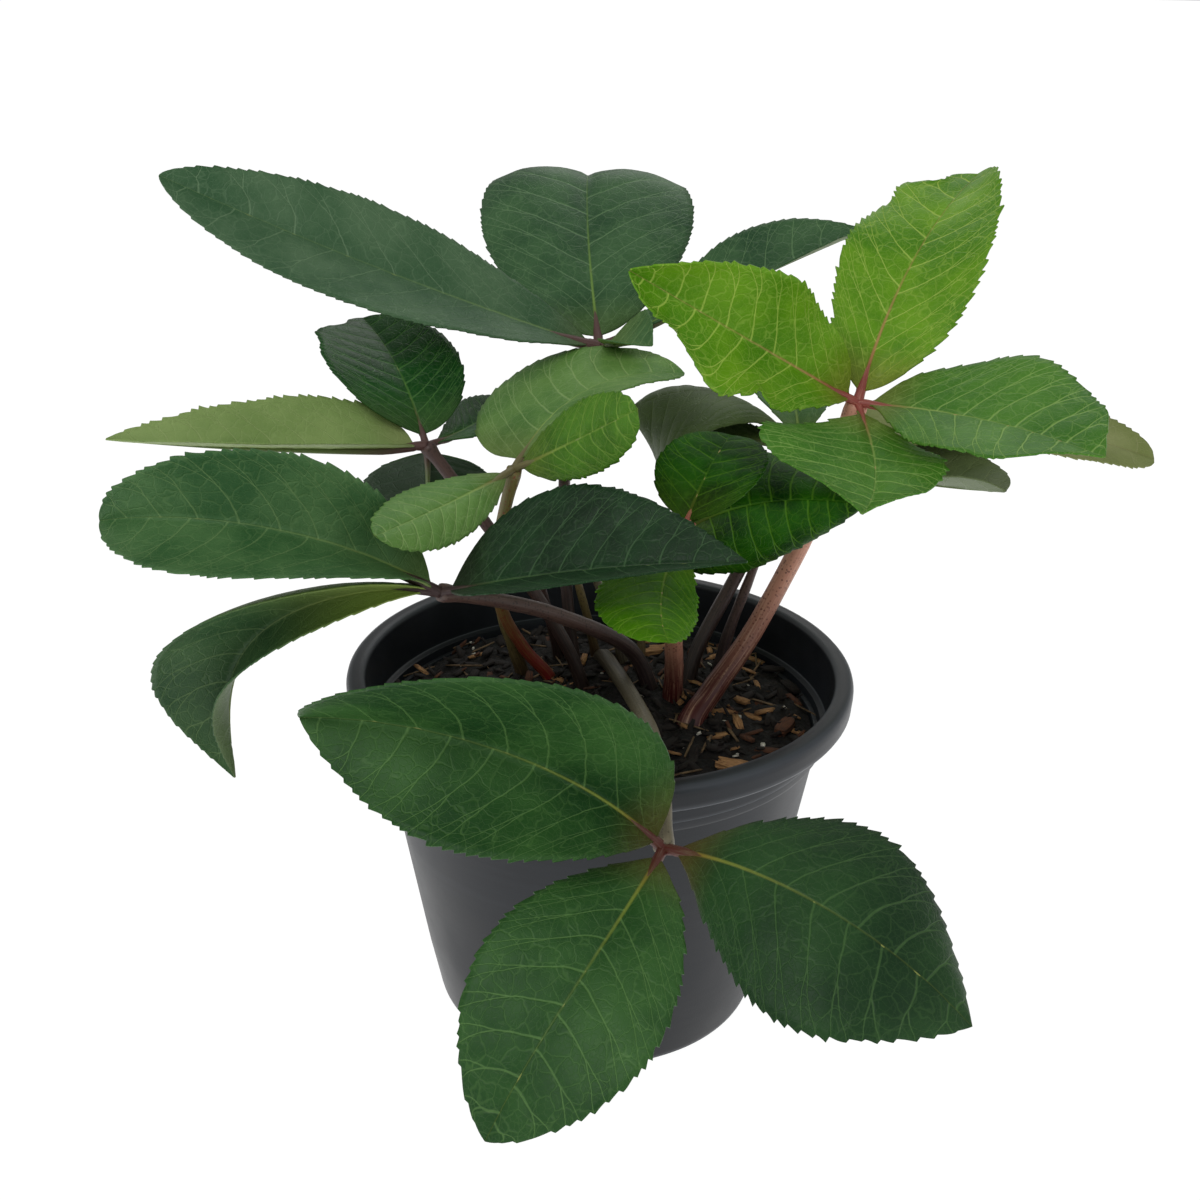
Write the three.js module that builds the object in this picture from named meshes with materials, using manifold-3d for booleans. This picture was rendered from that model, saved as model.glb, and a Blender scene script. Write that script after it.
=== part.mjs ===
// Potted hellebore: a young plant of leathery, divided leaves in a tapered round nursery pot.
// Millimetres, +Z up, origin at the centre of the pot's flat base, -Y is the front of the plant.
// Each leaf is a petiole that rises from the compost and carries three or four leaflets round its hub.
import * as THREE from 'three';
import Module from 'manifold-3d';
import { mergeVertices } from 'three/addons/utils/BufferGeometryUtils.js';

const wasm = await Module();
wasm.setup();

// ---- driving dimensions ----
const GAP = 0.3; // clearance kept between neighbouring solids
const POT = {
  height: 120,
  baseRadius: 56,
  baseCorner: 3,
  rimOuter: 82.5,
  rimInner: 76.3,
  wall: 1.6,
  floor: 2.2,
  bandHeight: 103, // lower edge of the banded collar under the rim
  stepHeight: 112, // lower edge of the rolled rim
  ledgeHeight: 100, // stacking ledge inside the wall
  sides: 48,
};
const DRAIN = { count: 6, radius: 41, width: 11 };
const SOIL = { edge: 101, crown: 106, sides: 32 };
const PETIOLE = { sides: 8, steps: 15 };
const BLADE = { along: 10, across: 6, thickness: 0.9, hubGap: 4.2, stalk: 1.1 };

// Where the leaflets of each leaf meet.
const HUB = {
  a: [17, -110, 120],
  b: [-47, -40, 161],
  c: [-27, -10, 189],
  d: [-56, 10, 190],
  e: [-2, 54, 212],
  f: [76, -5, 210],
  g: [23.5, -30, 177],
  h: [67, 45, 180],
};

// Petioles: colour, radius at the compost and at the hub, then the points of the route to the hub.
const PETIOLES = {
  a: ['#6d5f52', 3.2, 2.2, [[1, 33, 106], [5, 12, 111], [11, -22, 117], [15, -60, 126], [17, -92, 127]]],
  b: ['#5a4540', 3.0, 2.2, [[17, 7, 106], [9, 5, 123], [-13, -13, 142], [-31, -27, 153]]],
  c: ['#a04a3c', 2.3, 1.9, [[-18, 18, 106], [-26, 14, 118], [-33, 8, 136], [-33, 0, 160]]],
  d: ['#4c4038', 2.4, 2.0, [[-6, 10, 106], [-12, 10, 122], [-26, 11, 146], [-46, 10, 176]]],
  e: ['#4f4640', 2.2, 2.0, [[-9, 27, 106], [-11, 28, 122], [-13, 33, 150], [-12, 45, 184]]],
  f: ['#8a4a40', 5, 2.7, [[30, -13, 106], [37, -3, 112], [52, 13, 128], [69, 14, 168]]],
  g: ['#7c3f36', 3.8, 2.4, [[24, 1, 106], [24, -4, 120], [23, -13, 136], [23, -23, 157]]],
  h: ['#4a3a38', 2.8, 2.2, [[30, 15, 106], [34, 20, 118], [46, 31, 138], [58, 40, 160]]],
};

// Leaflets. Lengths in mm, angles in degrees.
// name, length, width, heading, rise, droop, turn, roll, twist, fold, curl, lean, widest, wave, hook, full
const LEAFLETS = [
  ['a1', 100, 66, 195, 50, 60, -30, 60, 40, 35, 20, 0.15, 0.5, 0, 0, 0.75],
  ['a2', 85, 48, -110, 0, 60, -35, 10, 15, 10, -10, 0, 0.55, 0, 0, 0.75],
  ['a3', 88, 58, -45, 20, 65, 25, -35, 20, 0, -25, 0, 0.55, 0, 0, 0.85],
  ['b1', 100, 50, -150, 40, 55, -50, 30, 40, 30, 25, -0.1, 0.5, 0, 0, 0.7],
  ['b2', 110, 42, -155, 15, 120, -85, 85, 5, 40, 50, 0.35, 0.5, 0, 0, 0.95],
  ['b3', 88, 50, -20, 20, 15, 10, -20, 5, 25, 5, -0.1, 0.4, 0, 0, 0.95],
  ['c1', 70, 58, 60, 40, 50, -45, 25, -35, 5, 0, -0.3, 0.4, 0, 0, 0.65],
  ['c2', 54, 22, -40, 30, 0, -10, -75, -15, 5, -25, 0.05, 0.55, 0, 0, 0.45],
  ['c3', 62, 22, -125, -5, -10, 10, 35, 0, 0, -25, -0.05, 0.55, 0, 0, 0.55],
  ['d1', 92, 34, -155, 5, 0, -20, 15, 0, 35, 0, 0, 0.35, 0, 0, 0.8],
  ['d2', 56, 48, 115, 45, 30, 10, -10, 15, 15, 0, -0.15, 0.45, 0, 0, 0.6],
  ['d3', 50, 20, 50, 5, 5, 35, -10, -15, 10, -10, 0, 0.55, 0, 0, 0.8],
  ['d4', 48, 44, 95, -50, 5, 20, 0, 0, 10, -10, 0, 0.5, 0, 0, 0.7],
  ['e1', 145, 44, -165, 20, -5, -10, 25, 30, 15, 0, -0.05, 0.5, 0, 0, 0.65],
  ['e2', 110, 80, 100, 45, 25, -15, 10, -15, 20, -50, 0, 0.55, 0, 95, 0.5],
  ['e3', 94, 40, 10, 25, 5, 0, -20, 15, 20, 10, 0, 0.65, 0, 0, 0.85],
  ['e4', 22, 24, -50, 20, 20, 5, -10, -15, 20, 20, -0.05, 0.5, 0, 0, 0.95],
  ['f1', 80, 44, -160, 30, 0, -5, 60, 30, 25, 25, 0, 0.5, 2, 0, 0.75],
  ['f2', 94, 46, 60, 55, 35, -10, -25, 40, 15, 5, 0.1, 0.5, 1, 0, 0.55],
  ['f3', 74, 54, -30, 5, 10, -25, -20, 5, 10, 0, -0.05, 0.5, 1, 0, 0.9],
  ['f4', 58, 54, -80, -25, -25, -35, 10, -10, 15, 0, 0.3, 0.55, 1, 0, 1.15],
  ['g1', 58, 72, 45, 10, 15, -60, -75, 15, -30, -45, 0, 0.35, 0, 0, 0.9],
  ['g2', 40, 34, 60, 50, 50, 10, 5, -10, 10, -5, 0.05, 0.45, 0, 0, 0.55],
  ['g3', 52, 30, -110, -20, -20, 30, 10, 0, 0, -30, 0.25, 0.5, 0, 0, 0.65],
  ['h1', 66, 74, 150, 45, 85, 20, -30, 55, -5, -30, -0.35, 0.65, 0, 0, 0.9],
  ['h2', 42, 22, 180, 15, 35, -10, 5, 0, 10, 0, 0, 0.5, 0, 0, 0.8],
  ['h3', 68, 52, 5, -20, -30, -45, -20, 30, 20, 0, 0.1, 0.55, 0, 0, 0.45],
  ['h4', 135, 32, 20, 10, 30, -15, -15, -20, 10, 0, 0, 0.55, 0, 0, 0.4],
  ['h5', 74, 38, 90, 35, 45, 10, 0, 0, 15, 0, 0, 0.5, 1, 0, 0.8],
];

// Blade colours of the leaves, from dark old leaves to the bright young one.
const LEAF_COLOUR = {
  a: '#2f4a2e',
  b: '#2c4634',
  c: '#5c8450',
  d: '#3a5c34',
  e: '#34543f',
  f: '#5f9132',
  g: '#33601f',
  h: '#4a5240',
};

// Loose bark chips lying on the compost: place, size and turn.
const CHIPS = [
  ['bark_chip_1', [-42, -6], [17, 7, 3], 12],
  ['bark_chip_2', [-57, 4], [14, 6, 2.6], -38],
  ['bark_chip_3', [18, 40], [13, 6, 2.6], 20],
  ['bark_chip_4', [44, -42], [15, 7, 3], -24],
  ['bark_chip_5', [60, -14], [10, 5, 2.4], 60],
  ['bark_chip_6', [-10, -36], [14, 6, 2.8], 35],
];

const root = new THREE.Group();
const rad = THREE.MathUtils.degToRad;

/** Adds one named mesh with its own material. */
function addMesh(name, geometry, colour, roughness, metalness = 0) {
  const material = new THREE.MeshStandardMaterial({ color: colour, roughness, metalness });
  const mesh = new THREE.Mesh(geometry, material);
  mesh.name = name;
  root.add(mesh);
  return mesh;
}

/** Closed three.js geometry to a manifold solid. */
function toSolid(geometry) {
  const bare = geometry.clone();
  bare.deleteAttribute('normal');
  bare.deleteAttribute('uv');
  const merged = mergeVertices(bare, 1e-3);
  const vertProperties = merged.attributes.position.array;
  const triVerts = new Uint32Array(merged.index.array);
  return new wasm.Manifold(new wasm.Mesh({ numProp: 3, vertProperties, triVerts }));
}

/** Manifold solid back to a three.js geometry. */
function toGeometry(solid) {
  const mesh = solid.getMesh();
  const geometry = new THREE.BufferGeometry();
  geometry.setAttribute('position', new THREE.BufferAttribute(mesh.vertProperties, 3));
  geometry.setIndex(new THREE.BufferAttribute(mesh.triVerts, 1));
  return geometry;
}

/** Surface of revolution about Z from [radius, height] points, which run upwards on the outside. */
function lathe(profile, sides) {
  const points = profile.map(([r, z]) => new THREE.Vector2(r, z));
  return new THREE.LatheGeometry(points, sides).rotateX(Math.PI / 2);
}

/** Outer radius of the pot's plain wall at a height. */
function wallRadius(z) {
  const top = 73;
  return POT.baseRadius + ((top - POT.baseRadius) * z) / POT.bandHeight;
}

/** Height of the mounded compost at a distance from the pot's axis. */
function soilHeight(r) {
  const edge = 72;
  return SOIL.crown - (SOIL.crown - SOIL.edge) * (r / edge) ** 2;
}

/** The moulded pot: tapered wall, collar with two fine steps, rolled rim, inner ledge, drain slots. */
function makePot() {
  const { height, baseRadius, baseCorner, rimOuter, rimInner, wall, floor } = POT;
  const { bandHeight, stepHeight, ledgeHeight } = POT;
  const inner = wallRadius(ledgeHeight) - wall;
  const outline = [
    [0, 0],
    [baseRadius - baseCorner, 0],
    [baseRadius - 0.9, 0.9],
    [baseRadius, baseCorner],
    [wallRadius(bandHeight), bandHeight],
    [wallRadius(bandHeight) + 2.2, bandHeight + 0.8],
    [wallRadius(bandHeight) + 3.2, stepHeight - 1],
    [rimOuter - 1.4, stepHeight],
    [rimOuter, stepHeight + 1.2],
    [rimOuter, height - 2.2],
    [rimOuter - 0.8, height - 0.6],
    [rimOuter - 2.4, height],
    [rimInner + 1.4, height],
    [rimInner, height - 1.2],
    [rimInner - 1.2, ledgeHeight + 5],
    [rimInner - 2.4, ledgeHeight],
    [inner, ledgeHeight - 1],
    [baseRadius - wall, floor + 2],
    [baseRadius - wall - 1.5, floor],
    [0, floor],
  ];
  let solid = toSolid(lathe(outline, POT.sides));
  for (let i = 0; i < DRAIN.count; i += 1) {
    const slot = new THREE.BoxGeometry(DRAIN.width, DRAIN.width, floor * 4);
    slot.translate(DRAIN.radius, 0, 0);
    slot.rotateZ(rad(30 + (360 / DRAIN.count) * i));
    solid = solid.subtract(toSolid(slot));
  }
  addMesh('pot', toGeometry(solid), '#3d3f45', 0.5);
}

/** The compost: a slightly mounded plug that fills the pot to below the ledge. */
function makeSoil() {
  const bottom = POT.floor + GAP;
  const foot = POT.baseRadius - POT.wall - 1.5 - GAP;
  const top = SOIL.edge - 2.5;
  const brim = wallRadius(top) - POT.wall - GAP * 2;
  const outline = [
    [0, bottom],
    [foot - 1, bottom],
    [foot, bottom + 4],
    [brim, top],
    [brim - 1, soilHeight(brim)],
    [52, soilHeight(52)],
    [30, soilHeight(30)],
    [12, soilHeight(12)],
    [0, SOIL.crown],
  ];
  addMesh('compost', lathe(outline, SOIL.sides), '#2b211b', 0.95);
}

/** Loose bark chips: low wedges with cut corners, lying just on the compost. */
function makeChips() {
  for (const [name, [x, y], [length, width, height], turn] of CHIPS) {
    const half = length / 2;
    const shape = new THREE.Shape();
    shape.moveTo(-half, -width * 0.3);
    shape.lineTo(-half * 0.5, -width / 2);
    shape.lineTo(half * 0.8, -width * 0.42);
    shape.lineTo(half, width * 0.1);
    shape.lineTo(half * 0.4, width / 2);
    shape.lineTo(-half * 0.9, width * 0.36);
    shape.closePath();
    const chip = new THREE.ExtrudeGeometry(shape, { depth: height, bevelEnabled: false });
    const mesh = addMesh(name, chip, '#8a5f3c', 0.9);
    const r = Math.hypot(x, y);
    mesh.position.set(x, y, soilHeight(Math.max(0, r - half)) + GAP);
    mesh.rotation.z = rad(turn);
  }
}

/** A closed tapering round sweep along a smooth route, rounded off at its far end. */
function makePetiole(key) {
  const [colour, footRadius, hubRadius, points] = PETIOLES[key];
  const { sides, steps } = PETIOLE;
  const route = [...points, HUB[key]].map((p) => new THREE.Vector3(...p));
  const curve = new THREE.CatmullRomCurve3(route, false, 'centripetal');
  const rings = [];
  let across = new THREE.Vector3(1, 0, 0);
  for (let i = 0; i <= steps; i += 1) {
    const t = i / steps;
    const centre = curve.getPointAt(t);
    const along = curve.getTangentAt(t).normalize();
    if (i === 0) along.set(0, 0, 1);
    across = across.clone().addScaledVector(along, -across.dot(along)).normalize();
    const other = new THREE.Vector3().crossVectors(along, across);
    let radius = footRadius + (hubRadius - footRadius) * t ** 0.7;
    if (t > 0.94) radius = hubRadius * 1.3;
    if (i === 0) centre.z += 0.7;
    rings.push({ centre, across, other, radius });
  }
  const last = rings[steps];
  const before = rings[steps - 1].centre;
  const out = last.centre.clone().sub(before).normalize();
  const cap = { ...last, centre: last.centre.clone().addScaledVector(out, hubRadius * 0.9) };
  cap.radius = hubRadius * 0.6;
  rings.push(cap);
  const positions = [];
  for (const ring of rings) {
    for (let s = 0; s < sides; s += 1) {
      const angle = (2 * Math.PI * s) / sides;
      const p = ring.centre.clone();
      p.addScaledVector(ring.across, ring.radius * Math.cos(angle));
      p.addScaledVector(ring.other, ring.radius * Math.sin(angle));
      positions.push(p.x, p.y, p.z);
    }
  }
  const first = rings[0].centre;
  const end = cap.centre;
  positions.push(first.x, first.y, first.z, end.x, end.y, end.z);
  const foot = rings.length * sides;
  const index = [];
  for (let r = 0; r < rings.length - 1; r += 1) {
    for (let s = 0; s < sides; s += 1) {
      const a = r * sides + s;
      const b = r * sides + ((s + 1) % sides);
      index.push(a, b, b + sides, a, b + sides, a + sides);
    }
  }
  for (let s = 0; s < sides; s += 1) {
    const next = (s + 1) % sides;
    const top = (rings.length - 1) * sides;
    index.push(foot, next, s);
    index.push(foot + 1, top + s, top + next);
  }
  addMesh(`petiole_${key}`, meshFrom(positions, index), colour, 0.55);
}

/** Indexed geometry with smooth normals. */
function meshFrom(positions, index) {
  const geometry = new THREE.BufferGeometry();
  geometry.setAttribute('position', new THREE.Float32BufferAttribute(positions, 3));
  geometry.setIndex(index);
  geometry.computeVertexNormals();
  return geometry;
}

/** Midrib frames of a leaflet: points, side and up directions and half-widths, base to tip. */
function midrib(row) {
  const [name, length, width, heading, rise, droop, turn, roll, twist] = row;
  const [, , , , , , , , , , , , widest, , hook, full] = row;
  const n = BLADE.along;
  const power = Math.log(0.5) / Math.log(widest);
  const point = new THREE.Vector3(...HUB[name[0]]);
  const frames = [];
  for (let i = 0; i <= n; i += 1) {
    const u = i / n;
    const curl = THREE.MathUtils.smoothstep(u, 0.6, 1);
    const e = rad(rise - droop * u - hook * curl);
    const h = rad(heading + turn * u);
    const along = new THREE.Vector3(Math.cos(e) * Math.cos(h), Math.cos(e) * Math.sin(h), Math.sin(e));
    if (i === 0) point.addScaledVector(along, BLADE.hubGap);
    else point.addScaledVector(along.clone().add(frames[i - 1].along), length / (2 * n));
    const level = new THREE.Vector3(Math.sin(h), -Math.cos(h), 0);
    const side = level.applyAxisAngle(along, -rad(roll + twist * u));
    const up = new THREE.Vector3().crossVectors(side, along);
    const half = Math.max((width / 2) * Math.sin(Math.PI * u ** power) ** full, BLADE.stalk);
    frames.push({ u, point: point.clone(), along, side, up, half });
  }
  return frames;
}

/** One leaflet: a thin closed slab, folded along its midrib and cupped or rolled at its margins. */
function makeLeaflet(row) {
  const [name] = row;
  const [, , , , , , , , , fold, curl, lean, , wave] = row;
  const frames = midrib(row);
  const m = BLADE.across;
  const bend = rad(Math.abs(curl) < 1 ? 1 : curl);
  const start = rad(fold);
  const upper = [];
  const lower = [];
  for (const { u, point, side, up, half } of frames) {
    for (let j = 0; j <= m; j += 1) {
      const v = (2 * j) / m - 1;
      const a = Math.abs(v);
      const out = ((Math.sin(start + bend * a) - Math.sin(start)) / bend) * Math.sign(v);
      const lift = (Math.cos(start) - Math.cos(start + bend * a)) / bend;
      const share = half * (1 + lean * Math.sign(v));
      const ripple = wave * Math.sin(5 * Math.PI * u) * v * v;
      const p = point.clone().addScaledVector(side, share * out).addScaledVector(up, share * lift + ripple);
      upper.push(p.clone().addScaledVector(up, BLADE.thickness / 2));
      lower.push(p.addScaledVector(up, -BLADE.thickness / 2));
    }
  }
  const all = [...upper, ...lower];
  const positions = all.flatMap((p) => [p.x, p.y, p.z]);
  addMesh(`leaflet_${name}`, meshFrom(positions, slabIndex(frames.length, m + 1)), LEAF_COLOUR[name[0]], 0.5);
}

/** Triangles of a slab made of an upper and a lower grid of rows by columns. */
function slabIndex(rows, columns) {
  const index = [];
  const shift = rows * columns;
  for (let r = 0; r < rows - 1; r += 1) {
    for (let c = 0; c < columns - 1; c += 1) {
      const a = r * columns + c;
      const b = a + 1;
      const d = a + columns;
      const e = d + 1;
      index.push(a, e, d, a, b, e);
      index.push(a + shift, d + shift, e + shift, a + shift, e + shift, b + shift);
    }
  }
  const border = [];
  for (let c = 0; c < columns; c += 1) border.push(c);
  for (let r = 1; r < rows; r += 1) border.push(r * columns + columns - 1);
  for (let c = columns - 2; c >= 0; c -= 1) border.push((rows - 1) * columns + c);
  for (let r = rows - 2; r > 0; r -= 1) border.push(r * columns);
  for (let k = 0; k < border.length; k += 1) {
    const a = border[k];
    const b = border[(k + 1) % border.length];
    index.push(a, b + shift, b, a, a + shift, b + shift);
  }
  return index;
}

makePot();
makeSoil();
makeChips();
Object.keys(PETIOLES).forEach(makePetiole);
LEAFLETS.forEach(makeLeaflet);

export default root;
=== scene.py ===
"""Potted hellebore: serrated leathery leaves on arching petioles, in a moulded nursery pot of bark compost.

One frame is used throughout: +Z is up, the pot stands on z = 0 and -Y is the front. Tables of the plant's
form are in millimetres and degrees, and everything that is placed in the scene is in metres.
"""
import logging
import math
import random
from dataclasses import dataclass, field
from enum import Enum

import bmesh
import bpy
from mathutils import Matrix, Vector, noise


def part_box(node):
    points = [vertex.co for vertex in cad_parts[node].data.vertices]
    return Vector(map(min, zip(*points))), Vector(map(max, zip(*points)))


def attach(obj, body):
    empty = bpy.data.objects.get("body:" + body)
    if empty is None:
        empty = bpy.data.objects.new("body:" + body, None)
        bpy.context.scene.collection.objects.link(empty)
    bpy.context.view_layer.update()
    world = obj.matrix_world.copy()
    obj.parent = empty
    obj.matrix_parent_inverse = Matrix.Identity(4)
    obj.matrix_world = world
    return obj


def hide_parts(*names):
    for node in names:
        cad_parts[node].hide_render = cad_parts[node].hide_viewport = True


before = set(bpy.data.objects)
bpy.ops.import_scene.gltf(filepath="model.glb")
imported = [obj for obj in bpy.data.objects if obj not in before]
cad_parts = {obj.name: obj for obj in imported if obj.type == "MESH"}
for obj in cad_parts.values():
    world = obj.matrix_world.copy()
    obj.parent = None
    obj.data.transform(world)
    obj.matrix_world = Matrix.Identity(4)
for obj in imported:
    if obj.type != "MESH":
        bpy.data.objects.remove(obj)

LOG = logging.getLogger("hellebore")
MM = 0.001
RGB = tuple[float, float, float]


# ---------------------------------------------------------------- the plant's form

# Where the leaflets of each leaf meet, in mm.
HUBS = {
    "a": (17, -110, 120),
    "b": (-47, -40, 161),
    "c": (-27, -10, 189),
    "d": (-56, 10, 190),
    "e": (-2, 54, 212),
    "f": (76, -5, 210),
    "g": (23.5, -30, 177),
    "h": (67, 45, 180),
}

# Petioles: radius at the compost and at the hub, then the route, in mm.
PETIOLES = {
    "a": (3.2, 2.2, [(1, 33, 106), (5, 12, 111), (11, -22, 117), (15, -60, 126), (17, -92, 127)]),
    "b": (3.0, 2.2, [(17, 7, 106), (9, 5, 123), (-13, -13, 142), (-31, -27, 153)]),
    "c": (2.3, 1.9, [(-18, 18, 106), (-26, 14, 118), (-33, 8, 136), (-33, 0, 160)]),
    "d": (2.4, 2.0, [(-6, 10, 106), (-12, 10, 122), (-26, 11, 146), (-46, 10, 176)]),
    "e": (2.2, 2.0, [(-9, 27, 106), (-11, 28, 122), (-13, 33, 150), (-12, 45, 184)]),
    "f": (5.0, 2.7, [(30, -13, 106), (37, -3, 112), (52, 13, 128), (69, 14, 168)]),
    "g": (3.8, 2.4, [(24, 1, 106), (24, -4, 120), (23, -13, 136), (23, -23, 157)]),
    "h": (2.8, 2.2, [(30, 15, 106), (34, 20, 118), (46, 31, 138), (58, 40, 160)]),
}

# Leaflets, in the order of the Leaflet class's fields: name, length, width, heading, rise, droop, turn, roll,
# twist, fold, curl, lean, widest, wave, hook, full.
LEAFLETS = [
    ("a1", 100, 66, 195, 50, 60, -30, 60, 40, 35, 20, 0.15, 0.5, 0, 0, 0.75),
    ("a2", 85, 48, -110, 0, 60, -35, 10, 15, 10, -10, 0, 0.55, 0, 0, 0.75),
    ("a3", 88, 58, -45, 20, 65, 25, -35, 20, 0, -25, 0, 0.55, 0, 0, 0.85),
    ("b1", 100, 50, -150, 40, 55, -50, 30, 40, 30, 25, -0.1, 0.5, 0, 0, 0.7),
    ("b2", 110, 42, -155, 15, 120, -85, 85, 5, 40, 50, 0.35, 0.5, 0, 0, 0.95),
    ("b3", 88, 50, -20, 20, 15, 10, -20, 5, 25, 5, -0.1, 0.4, 0, 0, 0.95),
    ("c1", 70, 58, 60, 40, 50, -45, 25, -35, 5, 0, -0.3, 0.4, 0, 0, 0.65),
    ("c2", 54, 22, -40, 30, 0, -10, -75, -15, 5, -25, 0.05, 0.55, 0, 0, 0.45),
    ("c3", 62, 22, -125, -5, -10, 10, 35, 0, 0, -25, -0.05, 0.55, 0, 0, 0.55),
    ("d1", 92, 34, -155, 5, 0, -20, 15, 0, 35, 0, 0, 0.35, 0, 0, 0.8),
    ("d2", 56, 48, 115, 45, 30, 10, -10, 15, 15, 0, -0.15, 0.45, 0, 0, 0.6),
    ("d3", 50, 20, 50, 5, 5, 35, -10, -15, 10, -10, 0, 0.55, 0, 0, 0.8),
    ("d4", 48, 44, 95, -50, 5, 20, 0, 0, 10, -10, 0, 0.5, 0, 0, 0.7),
    ("e1", 145, 44, -165, 20, -5, -10, 25, 30, 15, 0, -0.05, 0.5, 0, 0, 0.65),
    ("e2", 110, 80, 100, 45, 25, -15, 10, -15, 20, -50, 0, 0.55, 0, 95, 0.5),
    ("e3", 94, 40, 10, 25, 5, 0, -20, 15, 20, 10, 0, 0.65, 0, 0, 0.85),
    ("e4", 22, 24, -50, 20, 20, 5, -10, -15, 20, 20, -0.05, 0.5, 0, 0, 0.95),
    ("f1", 80, 44, -160, 30, 0, -5, 60, 30, 25, 25, 0, 0.5, 2, 0, 0.75),
    ("f2", 94, 46, 60, 55, 35, -10, -25, 40, 15, 5, 0.1, 0.5, 1, 0, 0.55),
    ("f3", 74, 54, -30, 5, 10, -25, -20, 5, 10, 0, -0.05, 0.5, 1, 0, 0.9),
    ("f4", 58, 54, -80, -25, -25, -35, 10, -10, 15, 0, 0.3, 0.55, 1, 0, 1.15),
    ("g1", 58, 72, 45, 10, 15, -60, -75, 15, -30, -45, 0, 0.35, 0, 0, 0.9),
    ("g2", 40, 34, 60, 50, 50, 10, 5, -10, 10, -5, 0.05, 0.45, 0, 0, 0.55),
    ("g3", 52, 30, -110, -20, -20, 30, 10, 0, 0, -30, 0.25, 0.5, 0, 0, 0.65),
    ("h1", 66, 74, 150, 45, 85, 20, -30, 55, -5, -30, -0.35, 0.65, 0, 0, 0.9),
    ("h2", 42, 22, 180, 15, 35, -10, 5, 0, 10, 0, 0, 0.5, 0, 0, 0.8),
    ("h3", 68, 52, 5, -20, -30, -45, -20, 30, 20, 0, 0.1, 0.55, 0, 0, 0.45),
    ("h4", 135, 32, 20, 10, 30, -15, -15, -20, 10, 0, 0, 0.55, 0, 0, 0.4),
    ("h5", 74, 38, 90, 35, 45, 10, 0, 0, 15, 0, 0, 0.5, 1, 0, 0.8),
]


# Local swellings and notches of a margin: side, share of the length, reach along it and depth in mm.
LOBES = {
    "d2": [(-1, 0.76, 0.07, 3.0), (-1, 0.9, 0.05, -3.0)],
    "f1": [(-1, 0.78, 0.09, -5.5), (-1, 0.6, 0.06, 4.5), (-1, 0.44, 0.03, -3.5), (-1, 0.33, 0.07, 2.5)],
    "f2": [(-1, 0.91, 0.035, -3.0), (-1, 0.82, 0.05, 3.5)],
    "f3": [(-1, 0.86, 0.05, 2.0), (1, 0.6, 0.05, -1.5)],
    "g1": [(1, 0.5, 0.08, 1.5)],
}


# ---------------------------------------------------------------- small helpers


def tone(red: int, green: int, blue: int) -> RGB:
    """Turns a display colour of 0 to 255 into the linear colour a shader takes.

    Args:
        red: Red, 0 to 255.
        green: Green, 0 to 255.
        blue: Blue, 0 to 255.

    Returns:
        The linear colour.
    """
    shares = (c / 255 for c in (red, green, blue))
    return tuple(c / 12.92 if c < 0.041 else ((c + 0.055) / 1.055) ** 2.4 for c in shares)


def smooth(low: float, high: float, value: float) -> float:
    """Smooth step from 0 at low to 1 at high.

    Args:
        low: Where the step starts.
        high: Where the step ends.
        value: The value to test.

    Returns:
        A number from 0 to 1.
    """
    t = min(1.0, max(0.0, (value - low) / (high - low)))
    return t * t * (3 - 2 * t)


def piece_from(bm: bmesh.types.BMesh, name: str, replaced: list[str]) -> bpy.types.Object:
    """Makes a bmesh a finished piece that rides on the one body.

    Args:
        bm: The shape, in metres. It is freed here.
        name: The piece's name.
        replaced: The frame's nodes that it stands for.

    Returns:
        The new object.
    """
    mesh = bpy.data.meshes.new(name)
    bm.to_mesh(mesh)
    bm.free()
    mesh.shade_smooth()
    obj = bpy.data.objects.new(name, mesh)
    bpy.context.scene.collection.objects.link(obj)
    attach(obj, "root")
    if replaced:
        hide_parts(*replaced)
    return obj


def report(obj: bpy.types.Object) -> None:
    """Logs a piece's name and its number of faces."""
    LOG.info("%s: %d faces", obj.name, len(obj.data.polygons))


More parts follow.
